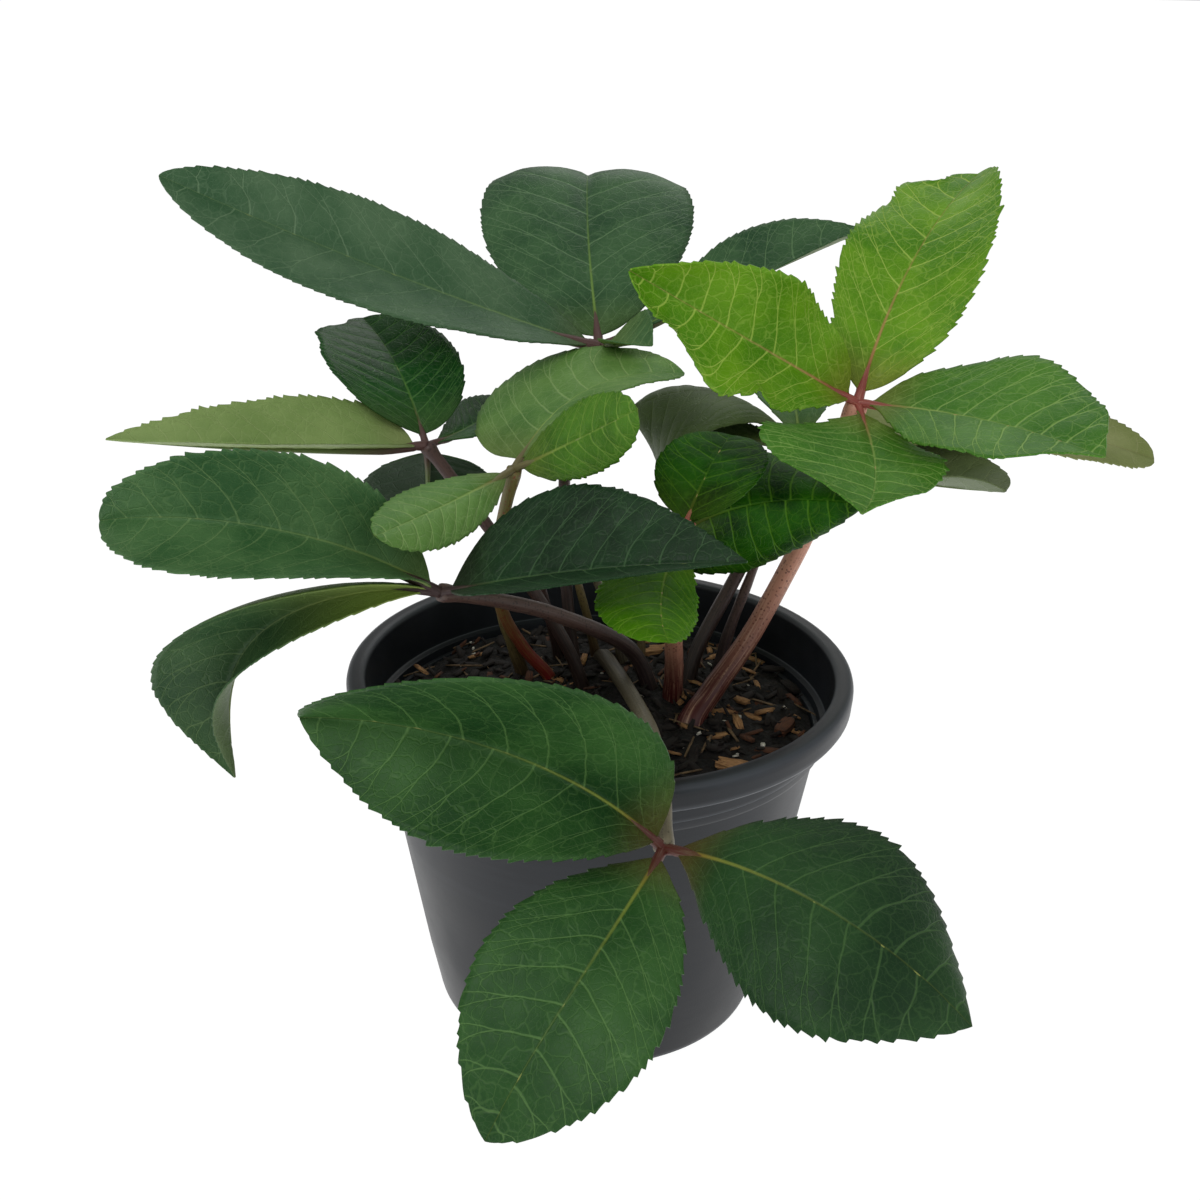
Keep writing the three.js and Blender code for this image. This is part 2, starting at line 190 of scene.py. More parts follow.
def sweep(bm: bmesh.types.BMesh, path: list[Vector], radii: list[float], groove: float, sides: int = 14,
          slot: int = 0, reach: tuple[float, float] = (0.0, 1.0)) -> None:
    """Sweeps a round, slightly grooved section along a path and closes both ends.

    Args:
        bm: The bmesh that the tube is added to.
        path: Points of the tube's centre line.
        radii: The radius at each point.
        groove: Depth of the groove on the upper side, as a share of the radius.
        sides: Number of sides of the section.
        slot: Material index of the faces.
        reach: First and last value of the length coordinate, kept in the UV map.
    """
    uv = bm.loops.layers.uv.verify()
    start = bmesh.ops.create_circle(bm, cap_ends=True, radius=1.0, segments=sides)["verts"]
    edges = list({e for v in start for e in v.link_edges})
    rings = [start]
    for _ in path[1:]:
        grown = bmesh.ops.extrude_edge_only(bm, edges=edges)["geom"]
        edges = [g for g in grown if isinstance(g, bmesh.types.BMEdge)]
        fresh = {g for g in grown if isinstance(g, bmesh.types.BMVert)}
        ring = []
        for old in rings[-1]:
            ring.append(next(e.other_vert(old) for e in old.link_edges if e.other_vert(old) in fresh))
        edges = [e for e in edges if e.verts[0] in fresh and e.verts[1] in fresh]
        rings.append(ring)
    side = Vector((1, 0, 0))
    lengths = [0.0]
    for a, b in zip(path, path[1:]):
        lengths.append(lengths[-1] + (b - a).length)
    for i, (centre, ring) in enumerate(zip(path, rings)):
        ahead = path[min(i + 1, len(path) - 1)] - path[max(i - 1, 0)]
        ahead.normalize()
        side = (side - ahead * side.dot(ahead)).normalized()
        other = ahead.cross(side)
        for k, vert in enumerate(ring):
            angle = 2 * math.pi * k / sides
            dip = groove * math.exp(-((math.sin(angle / 2 - math.pi / 4) / 0.25) ** 2))
            rib = 0.03 * math.cos(5 * angle)
            r = radii[i] * (1 - dip + rib)
            vert.co = centre + side * (r * math.cos(angle)) + other * (r * math.sin(angle))
    bmesh.ops.contextual_create(bm, geom=rings[-1])
    place = {}
    for length, ring in zip(lengths, rings):
        place.update({vert: (k / sides, length / lengths[-1]) for k, vert in enumerate(ring)})
    faces = {f for v in place for f in v.link_faces}
    for face in faces:
        face.material_index = slot
        around = [place[loop.vert][0] for loop in face.loops]
        wraps = max(around) - min(around) > 0.5
        for loop in face.loops:
            x, y = place[loop.vert]
            if wraps and x < 0.5:
                x += 1
            loop[uv].uv = (x, reach[0] + (reach[1] - reach[0]) * y)


def catmull(points: list[Vector], steps: int) -> list[Vector]:
    """Smooth points through the given ones.

    Args:
        points: Points that the curve passes through.
        steps: Number of steps between two of them.

    Returns:
        The curve's points.
    """
    ends = [points[0] * 2 - points[1], *points, points[-1] * 2 - points[-2]]
    curve = []
    for a, b, c, d in zip(ends, ends[1:], ends[2:], ends[3:]):
        for i in range(steps):
            t = i / steps
            curve.append(0.5 * (2 * b + (c - a) * t + (2 * a - 5 * b + 4 * c - d) * t * t
                                + (3 * b - 3 * c + d - a) * t ** 3))
    curve.append(points[-1])
    return curve


# ---------------------------------------------------------------- shader parts


class Nodes:
    """Writes shader nodes into one tree in short lines."""

    def __init__(self, tree: bpy.types.NodeTree) -> None:
        """Keeps the tree.

        Args:
            tree: The node tree that is written to.
        """
        self.tree = tree

    def add(self, kind: str, **settings: object) -> bpy.types.Node:
        """Adds a node.

        Args:
            kind: The node's type.
            settings: Values of its properties.

        Returns:
            The node.
        """
        node = self.tree.nodes.new(kind)
        for key, value in settings.items():
            setattr(node, key, value)
        return node

    def join(self, source: object, socket: bpy.types.NodeSocket) -> None:
        """Links a socket, or writes a plain value, to a socket.

        Args:
            source: An output socket, a number or a colour.
            socket: The input socket.
        """
        if isinstance(source, bpy.types.NodeSocket):
            self.tree.links.new(source, socket)
        elif isinstance(source, tuple) and len(source) == 3 and socket.type == "RGBA":
            socket.default_value = (*source, 1.0)
        else:
            socket.default_value = source

    def math(self, operation: str, a: object, b: object = 0.0, c: object = 0.0) -> object:
        """Adds one Math node.

        Args:
            operation: What it does.
            a: First value or socket.
            b: Second value or socket.
            c: Third value or socket.

        Returns:
            Its value.
        """
        node = self.add("ShaderNodeMath", operation=operation)
        for source, socket in zip((a, b, c), node.inputs):
            self.join(source, socket)
        return node.outputs[0]

    def mix(self, share: object, a: object, b: object) -> object:
        """Mixes two colours.

        Args:
            share: Share of the second colour.
            a: First colour.
            b: Second colour.

        Returns:
            The mixed colour.
        """
        node = self.add("ShaderNodeMix", data_type="RGBA")
        self.join(share, node.inputs[0])
        self.join(a, node.inputs[6])
        self.join(b, node.inputs[7])
        return node.outputs[2]

    def step(self, value: object, low: object, high: object, first: float = 0.0, last: float = 1.0) -> object:
        """Turns a value into a smooth ramp.

        Args:
            value: The value.
            low: Value at which the ramp starts.
            high: Value at which it ends.
            first: The ramp's result at its start.
            last: Its result at its end.

        Returns:
            The ramp.
        """
        node = self.add("ShaderNodeMapRange", interpolation_type="SMOOTHSTEP")
        for source, socket in zip((value, low, high, first, last), node.inputs):
            self.join(source, socket)
        return node.outputs[0]

    def noise(self, vector: object, scale: object, detail: float = 3.0, rough: float = 0.55) -> object:
        """Adds a noise texture.

        Args:
            vector: Where it is read.
            scale: Its scale.
            detail: Number of finer layers.
            rough: Strength of the finer layers.

        Returns:
            Its value.
        """
        node = self.add("ShaderNodeTexNoise")
        self.join(vector, node.inputs["Vector"])
        self.join(scale, node.inputs["Scale"])
        node.inputs["Detail"].default_value = detail
        node.inputs["Roughness"].default_value = rough
        return node.outputs["Fac"]

    def cells(self, vector: object, scale: float, feature: str = "F1") -> object:
        """Adds a Voronoi texture.

        Args:
            vector: Where it is read.
            scale: Its scale.
            feature: Which distance it measures.

        Returns:
            The distance.
        """
        node = self.add("ShaderNodeTexVoronoi", feature=feature)
        self.join(vector, node.inputs["Vector"])
        node.inputs["Scale"].default_value = scale
        return node.outputs["Distance"]

    def stretched(self, vector: object, x: float, y: float, z: float) -> object:
        """Scales a vector along each axis.

        Args:
            vector: The vector.
            x: Scale along X.
            y: Scale along Y.
            z: Scale along Z.

        Returns:
            The scaled vector.
        """
        node = self.add("ShaderNodeMapping")
        self.join(vector, node.inputs["Vector"])
        node.inputs["Scale"].default_value = (x, y, z)
        return node.outputs[0]

    def uv(self, name: str) -> tuple[object, object, object]:
        """Reads a UV map.

        Args:
            name: The map's name.

        Returns:
            The map as a vector, and its two numbers.
        """
        source = self.add("ShaderNodeUVMap", uv_map=name).outputs[0]
        across, along, _ = self.split(source)
        return source, across, along

    def split(self, vector: object) -> tuple[object, object, object]:
        """Takes a vector apart.

        Args:
            vector: The vector.

        Returns:
            Its three numbers.
        """
        parts = self.add("ShaderNodeSeparateXYZ")
        self.join(vector, parts.inputs[0])
        return tuple(parts.outputs)

    def place(self) -> object:
        """Object coordinates."""
        return self.add("ShaderNodeTexCoord").outputs["Object"]

    def bump(self, height: object, strength: float, distance: float) -> object:
        """Adds a Bump node.

        Args:
            height: The height.
            strength: How strong it is, from 0 to 1.
            distance: The height of 1, in metres.

        Returns:
            The normal.
        """
        node = self.add("ShaderNodeBump")
        node.inputs["Strength"].default_value = strength
        node.inputs["Distance"].default_value = distance
        self.join(height, node.inputs["Height"])
        return node.outputs[0]


def new_group(name: str, inputs: dict[str, float],
              outputs: list[str]) -> tuple[bpy.types.NodeTree, Nodes, dict, dict]:
    """Starts a shader node group of number inputs and outputs.

    Args:
        name: The group's name.
        inputs: Names of its inputs, with their first values.
        outputs: Names of its outputs.

    Returns:
        The group, a writer for it, its input sockets and its output sockets.
    """
    group = bpy.data.node_groups.new(name, "ShaderNodeTree")
    for key, value in inputs.items():
        group.interface.new_socket(key, in_out="INPUT", socket_type="NodeSocketFloat").default_value = value
    for key in outputs:
        group.interface.new_socket(key, in_out="OUTPUT", socket_type="NodeSocketFloat")
    n = Nodes(group)
    source = n.add("NodeGroupInput")
    sink = n.add("NodeGroupOutput")
    return group, n, {k: source.outputs[k] for k in inputs}, {k: sink.inputs[k] for k in outputs}


def use_group(n: Nodes, group: bpy.types.NodeTree, values: dict[str, object]) -> dict[str, object]:
    """Places a group in a material.

    Args:
        n: The material's writer.
        group: The group.
        values: Its input values.

    Returns:
        Its output sockets by name.
    """
    node = n.add("ShaderNodeGroup")
    node.node_tree = group
    for key, value in values.items():
        n.join(value, node.inputs[key])
    return {o.name: o for o in node.outputs}


def new_material(name: str) -> tuple[bpy.types.Material, Nodes, bpy.types.Node]:
    """A material with only a Principled BSDF and its output.

    Args:
        name: The material's name.

    Returns:
        The material, a writer for its nodes and its shader.
    """
    material = bpy.data.materials.new(name)
    material.use_nodes = True
    n = Nodes(material.node_tree)
    shader = next(x for x in material.node_tree.nodes if x.type == "BSDF_PRINCIPLED")
    return material, n, shader


def vein_group() -> bpy.types.NodeTree:
    """The vein network of a blade: midrib, forked side veins, marginal loops and the fine net.

    Returns:
        The group. Its inputs are the blade's length and vein spacing in centimetres.
    """
    group, n, take, give = new_group("BladeVeins", {"Length": 9.0, "Spacing": 1.2},
                                     ["Midrib", "Side", "Net", "Height", "Along", "Edge"])
    place, along, across = n.uv("Blade")
    _, phase, share = n.uv("Veins")
    off = n.math("ABSOLUTE", across)
    reach = n.math("DIVIDE", along, take["Length"])
    width = n.math("MULTIPLY_ADD", reach, -0.06, 0.08)
    midrib = n.step(off, n.math("MULTIPLY", width, 0.25), width, 1.0, 0.0)
    wander = n.math("MULTIPLY_ADD", n.noise(place, 1.6, 2), 0.12, -0.06)
    turn = n.math("ADD", phase, wander)
    f = n.math("ABSOLUTE", n.math("SUBTRACT", n.math("FRACT", turn), 0.5))
    fork = n.math("MULTIPLY", n.math("MAXIMUM", n.math("SUBTRACT", share, 0.5), 0.0), 0.52)
    apart = n.math("MULTIPLY", n.math("ABSOLUTE", n.math("SUBTRACT", f, fork)), take["Spacing"])
    thin = n.math("MULTIPLY_ADD", share, -0.028, 0.056)
    side = n.step(apart, n.math("MULTIPLY", thin, 0.2), thin, 1.0, 0.0)
    wave = n.math("MULTIPLY_ADD", n.math("COSINE", n.math("MULTIPLY", turn, 2 * math.pi)), 0.06, 0.78)
    loop = n.step(n.math("ABSOLUTE", n.math("SUBTRACT", share, wave)), 0.002, 0.014, 0.5, 0.0)
    shifted = n.add("ShaderNodeVectorMath", operation="ADD")
    n.join(place, shifted.inputs[0])
    jitter = n.add("ShaderNodeTexNoise")
    jitter.inputs["Scale"].default_value = 2.2
    n.join(place, jitter.inputs["Vector"])
    small = n.add("ShaderNodeVectorMath", operation="SCALE")
    small.inputs["Scale"].default_value = 0.35
    n.join(jitter.outputs["Color"], small.inputs[0])
    n.join(small.outputs[0], shifted.inputs[1])
    coarse = n.step(n.cells(shifted.outputs[0], 2.0, "DISTANCE_TO_EDGE"), 0.006, 0.06, 1.0, 0.0)
    fine = n.step(n.cells(shifted.outputs[0], 6.5, "DISTANCE_TO_EDGE"), 0.01, 0.09, 1.0, 0.0)
    net = n.math("MAXIMUM", n.math("MULTIPLY", coarse, 0.75), n.math("MULTIPLY", fine, 0.35))
    both = n.math("MAXIMUM", side, loop)
    deep = n.math("MAXIMUM", midrib, n.math("MULTIPLY", both, 0.8))
    height = n.math("SUBTRACT", 1.0, n.math("MAXIMUM", deep, n.math("MULTIPLY", net, 0.45)))
    for key, value in (("Midrib", midrib), ("Side", both), ("Net", net), ("Height", height), ("Along", along),
                       ("Edge", share)):
        n.join(value, give[key])
    return group


def grain_group() -> bpy.types.NodeTree:
    """Soft mottling and fine grain on Object coordinates, for plastic, stems and blades.

    Returns:
        The group.
    """
    group, n, take, give = new_group("Grain", {"Scale": 60.0, "Fine": 900.0}, ["Cloud", "Grain"])
    place = n.place()
    n.join(n.step(n.noise(place, take["Scale"], 4), 0.3, 0.7), give["Cloud"])
    n.join(n.noise(place, take["Fine"], 3), give["Grain"])
    return group


@dataclass(frozen=True)
class BladeFinish:
    """The leathery surface of a leaflet: upper and lower faces have a material each."""

    name: str
    deep: RGB
    light: RGB
    vein: RGB
    midrib: RGB
    hub: RGB
    under: RGB
    gloss: float = 0.46
    show: float = 0.4
    clouds: float = 45.0
    rib_far: float = 0.25
    shine: float = 0.2
    tint: float = 1.8
    smear: float = 0.3

    def upper(self, veins: bpy.types.NodeTree, grain: bpy.types.NodeTree, length: float,
              spacing: float) -> bpy.types.Material:
        """The upper face: pale veins on a mottled blade, its lighter patches partly painted sheen, tinted
        towards the hub and the edge.

        Args:
            veins: The vein network group.
            grain: The grain group.
            length: Blade length in centimetres.
            spacing: Distance between side veins in centimetres.

        Returns:
            The material.
        """
        material, n, shader = new_material(self.name + "_upper")
        net = use_group(n, veins, {"Length": length, "Spacing": spacing})
        soft = use_group(n, grain, {"Scale": self.clouds, "Fine": 1500.0})
        # Mottling from the deep to the light tone: partly the blade's own uneven tone, partly painted sheen
        # patches.
        colour = n.mix(soft["Cloud"], self.deep, self.light)
        near = n.step(net["Side"], 0.0, 1.0, 0.0, self.show)
        colour = n.mix(n.math("MULTIPLY", net["Net"], self.show * 0.55), colour, self.vein)
        colour = n.mix(near, colour, self.vein)
        edge = n.step(net["Edge"], 0.965, 1.0, 0.0, 0.35)
        colour = n.mix(edge, colour, self.light)
        rib = n.math("MULTIPLY", net["Midrib"], n.step(net["Along"], 0.0, length * 0.6, 0.9, self.rib_far))
        colour = n.mix(rib, colour, self.midrib)
        base = n.math("MULTIPLY", n.step(net["Along"], 0.1, self.tint, 1.0, 0.0),
                      n.math("MULTIPLY_ADD", net["Midrib"], 0.95 - self.smear, self.smear))
        colour = n.mix(base, colour, self.hub)
        n.join(colour, shader.inputs["Base Color"])
        n.join(n.math("MULTIPLY_ADD", soft["Grain"], 0.16, self.gloss - 0.08), shader.inputs["Roughness"])
        tall = n.math("MULTIPLY_ADD", soft["Grain"], 0.08, net["Height"])
        n.join(n.bump(tall, 0.5, 0.0005), shader.inputs["Normal"])
        shader.inputs["Specular IOR Level"].default_value = self.shine
        return material

    def lower(self, veins: bpy.types.NodeTree, grain: bpy.types.NodeTree, length: float,
              spacing: float) -> bpy.types.Material:
        """The lower face: paler and matt, with raised veins.

        Args:
            veins: The vein network group.
            grain: The grain group.
            length: Blade length in centimetres.
            spacing: Distance between side veins in centimetres.

        Returns:
            The material.
        """
        material, n, shader = new_material(self.name + "_lower")
        net = use_group(n, veins, {"Length": length, "Spacing": spacing})
        soft = use_group(n, grain, {"Scale": 55.0, "Fine": 1500.0})
        pale = tuple(min(1.0, c * 1.5 + 0.01) for c in self.under)
        colour = n.mix(n.math("MULTIPLY", soft["Cloud"], 0.5), self.under, pale)
        colour = n.mix(n.math("MULTIPLY", net["Net"], 0.22), colour, pale)
        colour = n.mix(n.math("MULTIPLY", net["Side"], 0.5), colour, pale)
        colour = n.mix(n.math("MULTIPLY", net["Midrib"], 0.6), colour, self.midrib)
        n.join(colour, shader.inputs["Base Color"])
        n.join(n.math("MULTIPLY_ADD", soft["Grain"], 0.15, 0.5), shader.inputs["Roughness"])
        tall = n.math("SUBTRACT", 1.0, net["Height"])
        n.join(n.bump(tall, 0.5, 0.0006), shader.inputs["Normal"])
        return material


DARK = BladeFinish("dark_blade", tone(26, 64, 26), tone(56, 98, 44), tone(110, 150, 84),
                   tone(138, 150, 60), tone(126, 92, 40), tone(92, 116, 60), 0.46, 0.36, 34.0, 0.12)
DEEP = BladeFinish("deep_blade", tone(18, 50, 22), tone(38, 74, 34), tone(92, 130, 72),
                   tone(138, 146, 60), tone(136, 88, 40), tone(80, 104, 54), 0.46, 0.3, 34.0, 0.12)
MIDNIGHT = BladeFinish("midnight_blade", tone(9, 38, 14), tone(24, 60, 28), tone(84, 118, 78),
                       tone(70, 98, 56), tone(54, 48, 32), tone(80, 104, 56), 0.42)
GREYED = BladeFinish("greyed_blade", tone(46, 88, 47), tone(80, 118, 70), tone(120, 152, 96),
                     tone(116, 144, 80), tone(120, 136, 64), tone(110, 132, 66))
FOLDED = BladeFinish("folded_blade", tone(40, 74, 42), tone(64, 96, 58), tone(118, 146, 94),
                     tone(116, 136, 76), tone(156, 176, 90), tone(74, 96, 54), tint=5.2, smear=0.85)
PALE = BladeFinish("pale_blade", tone(76, 120, 52), tone(106, 146, 72), tone(150, 180, 112),
                   tone(146, 176, 92), tone(110, 96, 56), tone(120, 150, 76), 0.5, 0.5)
FRESH = BladeFinish("fresh_blade", tone(52, 96, 18), tone(80, 130, 32), tone(136, 172, 72),
                    tone(150, 176, 80), tone(110, 110, 50), tone(112, 144, 60), 0.46, 0.5)
OLIVE = BladeFinish("olive_blade", tone(112, 140, 74), tone(138, 162, 96), tone(160, 180, 118),
                    tone(150, 156, 90), tone(96, 72, 52), tone(130, 152, 84), 0.52, 0.35)
FOREST = BladeFinish("forest_blade", tone(10, 56, 16), tone(28, 84, 28), tone(92, 142, 72),
                     tone(90, 134, 60), tone(70, 66, 40), tone(36, 62, 34), 0.38, 0.45)
BLUE = BladeFinish("bluish_blade", tone(36, 72, 42), tone(60, 96, 58), tone(116, 150, 104),
                   tone(120, 152, 72), tone(100, 124, 50), tone(104, 124, 76), 0.42, 0.45)
SMOKE = BladeFinish("smoke_blade", tone(50, 86, 54), tone(78, 108, 76), tone(124, 152, 116),
                    tone(108, 136, 84), tone(100, 104, 56), tone(104, 124, 84), 0.46, 0.35)
BRIGHT = BladeFinish("bright_blade", tone(72, 128, 10), tone(108, 158, 26), tone(178, 206, 92),
                     tone(184, 132, 92), tone(146, 84, 52), tone(120, 150, 66), 0.44, 0.62)
MEADOW = BladeFinish("meadow_blade", tone(56, 110, 26), tone(80, 132, 42), tone(152, 188, 100),
                     tone(150, 176, 92), tone(142, 96, 60), tone(124, 150, 76), 0.46, 0.55)
HEART = BladeFinish("heart_blade", tone(6, 46, 2), tone(34, 90, 6), tone(92, 142, 34), tone(92, 138, 40),
                    tone(70, 74, 24), tone(70, 104, 30), 0.46, 0.45, 60.0, 0.1, 0.07)
SPRIG = BladeFinish("sprig_blade", tone(48, 98, 6), tone(80, 132, 16), tone(120, 164, 50),
                    tone(130, 160, 60), tone(110, 110, 40), tone(96, 130, 40), 0.46, 0.5, shine=0.08)
DUSK = BladeFinish("dusk_blade", tone(58, 78, 36), tone(78, 98, 50), tone(100, 120, 66),
                   tone(96, 104, 56), tone(80, 70, 42), tone(58, 76, 40), 0.52, 0.3)
SAGE = BladeFinish("sage_blade", tone(84, 100, 60), tone(104, 118, 78), tone(130, 144, 96),
                   tone(120, 128, 80), tone(100, 84, 56), tone(84, 100, 60), 0.55, 0.3)
DRIED = BladeFinish("dried_blade", tone(116, 128, 70), tone(140, 148, 96), tone(160, 164, 116),
                    tone(150, 140, 90), tone(110, 90, 60), tone(120, 132, 84), 0.55, 0.3)


class Teeth(Enum):
    """How the margin is cut."""

    FINE = 0.55
    SHARP = 0.85
    COARSE = 1.1


# Finish and margin of each leaflet.
DRESS = {
    "a1": (DARK, Teeth.SHARP), "a2": (DARK, Teeth.SHARP), "a3": (DEEP, Teeth.COARSE),
    "b1": (GREYED, Teeth.SHARP), "b2": (FOLDED, Teeth.FINE), "b3": (MIDNIGHT, Teeth.FINE),
    "c1": (PALE, Teeth.SHARP), "c2": (FRESH, Teeth.FINE), "c3": (PALE, Teeth.FINE),
    "d1": (OLIVE, Teeth.SHARP), "d2": (FOREST, Teeth.FINE), "d3": (FOREST, Teeth.FINE),
    "d4": (FOREST, Teeth.FINE),
    "e1": (SMOKE, Teeth.FINE), "e2": (BLUE, Teeth.FINE), "e3": (BLUE, Teeth.FINE), "e4": (GREYED, Teeth.FINE),
    "f1": (BRIGHT, Teeth.SHARP), "f2": (BRIGHT, Teeth.COARSE), "f3": (MEADOW, Teeth.SHARP),
    "f4": (MEADOW, Teeth.COARSE),
    "g1": (HEART, Teeth.SHARP), "g2": (HEART, Teeth.FINE), "g3": (SPRIG, Teeth.SHARP),
    "h1": (DUSK, Teeth.FINE), "h2": (DUSK, Teeth.SHARP), "h3": (SAGE, Teeth.FINE), "h4": (DRIED, Teeth.SHARP),
    "h5": (GREYED, Teeth.FINE),
}


# ---------------------------------------------------------------- leaves


@dataclass
class Leaflet:
    """One leaflet: a folded, cupped and toothed blade on its midrib. Lengths in mm, angles in degrees."""

    name: str
    length: float
    width: float
    heading: float
    rise: float
    droop: float
    turn: float
    roll: float
    twist: float
    fold: float
    curl: float
    lean: float
    widest: float
    wave: float
    hook: float
    full: float
    columns: int = 26
    steps: int = 120
    gap: float = 4.2
    thickness: float = 0.5
    quilt: float = 0.26
    climb: float = 0.34
    forward: float = 0.09
    tooth_pitch: float = 3.7
    vein_groove: float = 0.8
    rib_groove: float = 1.3
    spine: list[tuple] = field(default_factory=list)

    def grow(self) -> None:
        """Works out the midrib: point and directions along, aside and up at each step, in mm."""
        point = Vector(HUBS[self.name[0]])
        last = None
        for i in range(self.steps + 1):
            u = i / self.steps
            e = math.radians(self.rise - self.droop * u - self.hook * smooth(0.6, 1.0, u))
            h = math.radians(self.heading + self.turn * u)
            along = Vector((math.cos(e) * math.cos(h), math.cos(e) * math.sin(h), math.sin(e)))
            if last is None:
                point = point + along * self.gap
            else:
                point = point + (along + last) * (self.length / (2 * self.steps))
            last = along
            level = Vector((math.sin(h), -math.cos(h), 0))
            side = Matrix.Rotation(-math.radians(self.roll + self.twist * u), 3, along) @ level
            self.spine.append((point.copy(), along, side, side.cross(along)))

    def at(self, u: float) -> tuple[Vector, Vector, Vector, Vector]:
        """The midrib's point and directions at a share of its length.

        Args:
            u: Share of the length, 0 at the hub.

        Returns:
            Point, along, side and up.
        """
        x = min(max(u, 0.0), 1.0) * self.steps
        i = min(int(x), self.steps - 1)
        t = x - i
        a, b = self.spine[i], self.spine[i + 1]
        return tuple(p.lerp(q, t) for p, q in zip(a, b))

    def half_width(self, u: float) -> float:
        """Half the blade's width, in mm.

        Args:
            u: Share of the length.

        Returns:
            The half-width before the margin's lean.
        """
        power = math.log(0.5) / math.log(self.widest)
        body = math.sin(math.pi * min(max(u, 0.0), 1.0) ** power)
        least = 1.1 * (1 - u) + 0.12
        return max(self.width / 2 * max(body, 0.0) ** self.full, least)

    def vein_count(self) -> float:
        """Side veins on each half of the blade."""
        return 6.0 if self.length < 50 else 9.0

    def phase(self, u: float, a: float, sign: float) -> float:
        """Position among the side veins, which climb towards the tip; a half on each vein.

        Args:
            u: Share of the length.
            a: Share of the half-width.
            sign: The side, 1 or -1.

        Returns:
            The position, 1 from one vein to the next.
        """
        lag = self.climb * a ** 1.25
        start = (u - lag) / (1 - lag)
        wander = 0.1 * noise.noise(Vector((u * 5, a * 2, self.length + sign)))
        return start * self.vein_count() + (0.27 if sign > 0 else 0.0) + wander

    def surface(self, s: float, v: float) -> Vector:
        """A point of the upper face.

        Args:
            s: Share of the length at which the point's vein row leaves the midrib.
            v: Share of the half-width, -1 to 1.

        Returns:
            The point in mm.
        """
        a = abs(v)
        sign = 1.0 if v >= 0 else -1.0
        u = self.row_at(s, a)
        tooth = self.tooth_at(s, sign) * smooth(0.8, 1.0, a)
        u = min(1.0, u + tooth * 0.4 / self.length)
        point, _, side, up = self.at(u)
        start = math.radians(self.fold)
        bend = math.radians(self.curl if abs(self.curl) >= 1 else 1)
        out = (math.sin(start + bend * a) - math.sin(start)) / bend
        lift = (math.cos(start) - math.cos(start + bend * a)) / bend
        half = self.half_width(u) * (1 + self.lean * sign)
        half += (tooth - 0.4) * smooth(0.8, 1.0, a) * min(1.0, half / 5)
        for side_of, centre, reach, depth in LOBES.get(self.name, []):
            if side_of == sign:
                half += depth * math.exp(-(((u - centre) / reach) ** 2)) * a * a
        ripple = self.wave * math.sin(5 * math.pi * u) * v * v
        point = point + side * (half * out * sign) + up * (half * lift + ripple)
        return point + up * self.relief(u, a, sign, half)

    def row_at(self, s: float, a: float) -> float:
        """Share of the length that a row reaches at a share of the half-width; rows lean forward."""
        return s + self.forward * min(1.0, 6 * s) * (1 - s) * a ** 1.3

    def tooth_at(self, s: float, sign: float) -> float:
        """How far the margin's saw tooth stands out, in mm.

        Args:
            s: Share of the length at which the point's vein row leaves the midrib.
            sign: The side, 1 or -1.

        Returns:
            The height of the tooth there.
        """
        count = self.length / self.tooth_pitch
        x = s * count + 1.1 * noise.noise(Vector((s * 9, sign * 3, self.width)))
        saw = (x % 1.0) ** 1.2
        size = DRESS[self.name][1].value * (0.85 + 0.6 * noise.noise(Vector((s * 14, sign, 7))))
        return saw * size * 1.45 * smooth(0.02, 0.12, s) * smooth(1.0, 0.93, s)

    def relief(self, u: float, a: float, sign: float, half: float) -> float:
        """Height of the blade's quilting and vein grooves, in mm.

        Args:
            u: Share of the length.
            a: Share of the half-width.
            sign: The side, 1 or -1.
            half: Half the width there, in mm.

        Returns:
            The height above the smooth blade.
        """
        f = abs(self.phase(u, a, sign) % 1.0 - 0.5)
        fork = max(0.0, a - 0.5) * 0.52
        apart = abs(f - fork) * self.length / self.vein_count()
        groove = math.exp(-((apart / self.vein_groove) ** 2)) * (1 - a ** 3)
        middle = math.exp(-((a * half / self.rib_groove) ** 2))
        room = min(1.0, half / 12)
        puff = (0.5 - 0.5 * math.cos(2 * math.pi * f)) * math.sin(math.pi * a) ** 0.7
        broad = noise.noise(Vector((u * self.length / 19, a * half / 14 * sign, self.width))) * 2.0
        rough = noise.noise(Vector((u * self.length / 6, a * half / 5 * sign, 3.0))) * 0.6
        height = self.quilt * room * (0.4 * puff - 0.55 * groove + rough + broad * a)
        return height - 0.3 * middle * min(1.0, half / 4)

    def build(self) -> bpy.types.Object:
        """Makes the blade as a piece that stands for its leaflet node.

        Returns:
            The piece.
        """
        self.grow()
        rows = int(self.length * 1.4) + 12
        columns = 16 if self.length < 40 else self.columns
        bm = bmesh.new()
        blade = bm.loops.layers.uv.new("Blade")
        veins = bm.loops.layers.uv.new("Veins")
        bmesh.ops.create_grid(bm, x_segments=rows, y_segments=columns, size=0.5)
        spots = {vert: (vert.co.x + 0.5, -2 * vert.co.y) for vert in bm.verts}
        for vert, (s, v) in spots.items():
            vert.co = self.surface(s, v) * MM
        for face in bm.faces:
            sign = 1.0 if sum(spots[loop.vert][1] for loop in face.loops) > 0 else -1.0
            for loop in face.loops:
                s, v = spots[loop.vert]
                a = abs(v)
                u = self.row_at(s, a)
                across = self.half_width(u) * (1 + self.lean * sign) * v
                loop[blade].uv = (u * self.length / 10, across / 10)
                loop[veins].uv = (self.phase(u, a, sign), a)
        node = "leaflet_" + self.name
        obj = piece_from(bm, node, [node])
        shell = obj.modifiers.new("Thickness", "SOLIDIFY")
        shell.thickness = self.thickness * MM
        shell.offset = -1
        shell.material_offset = 1
        shell.use_quality_normals = True
        return obj

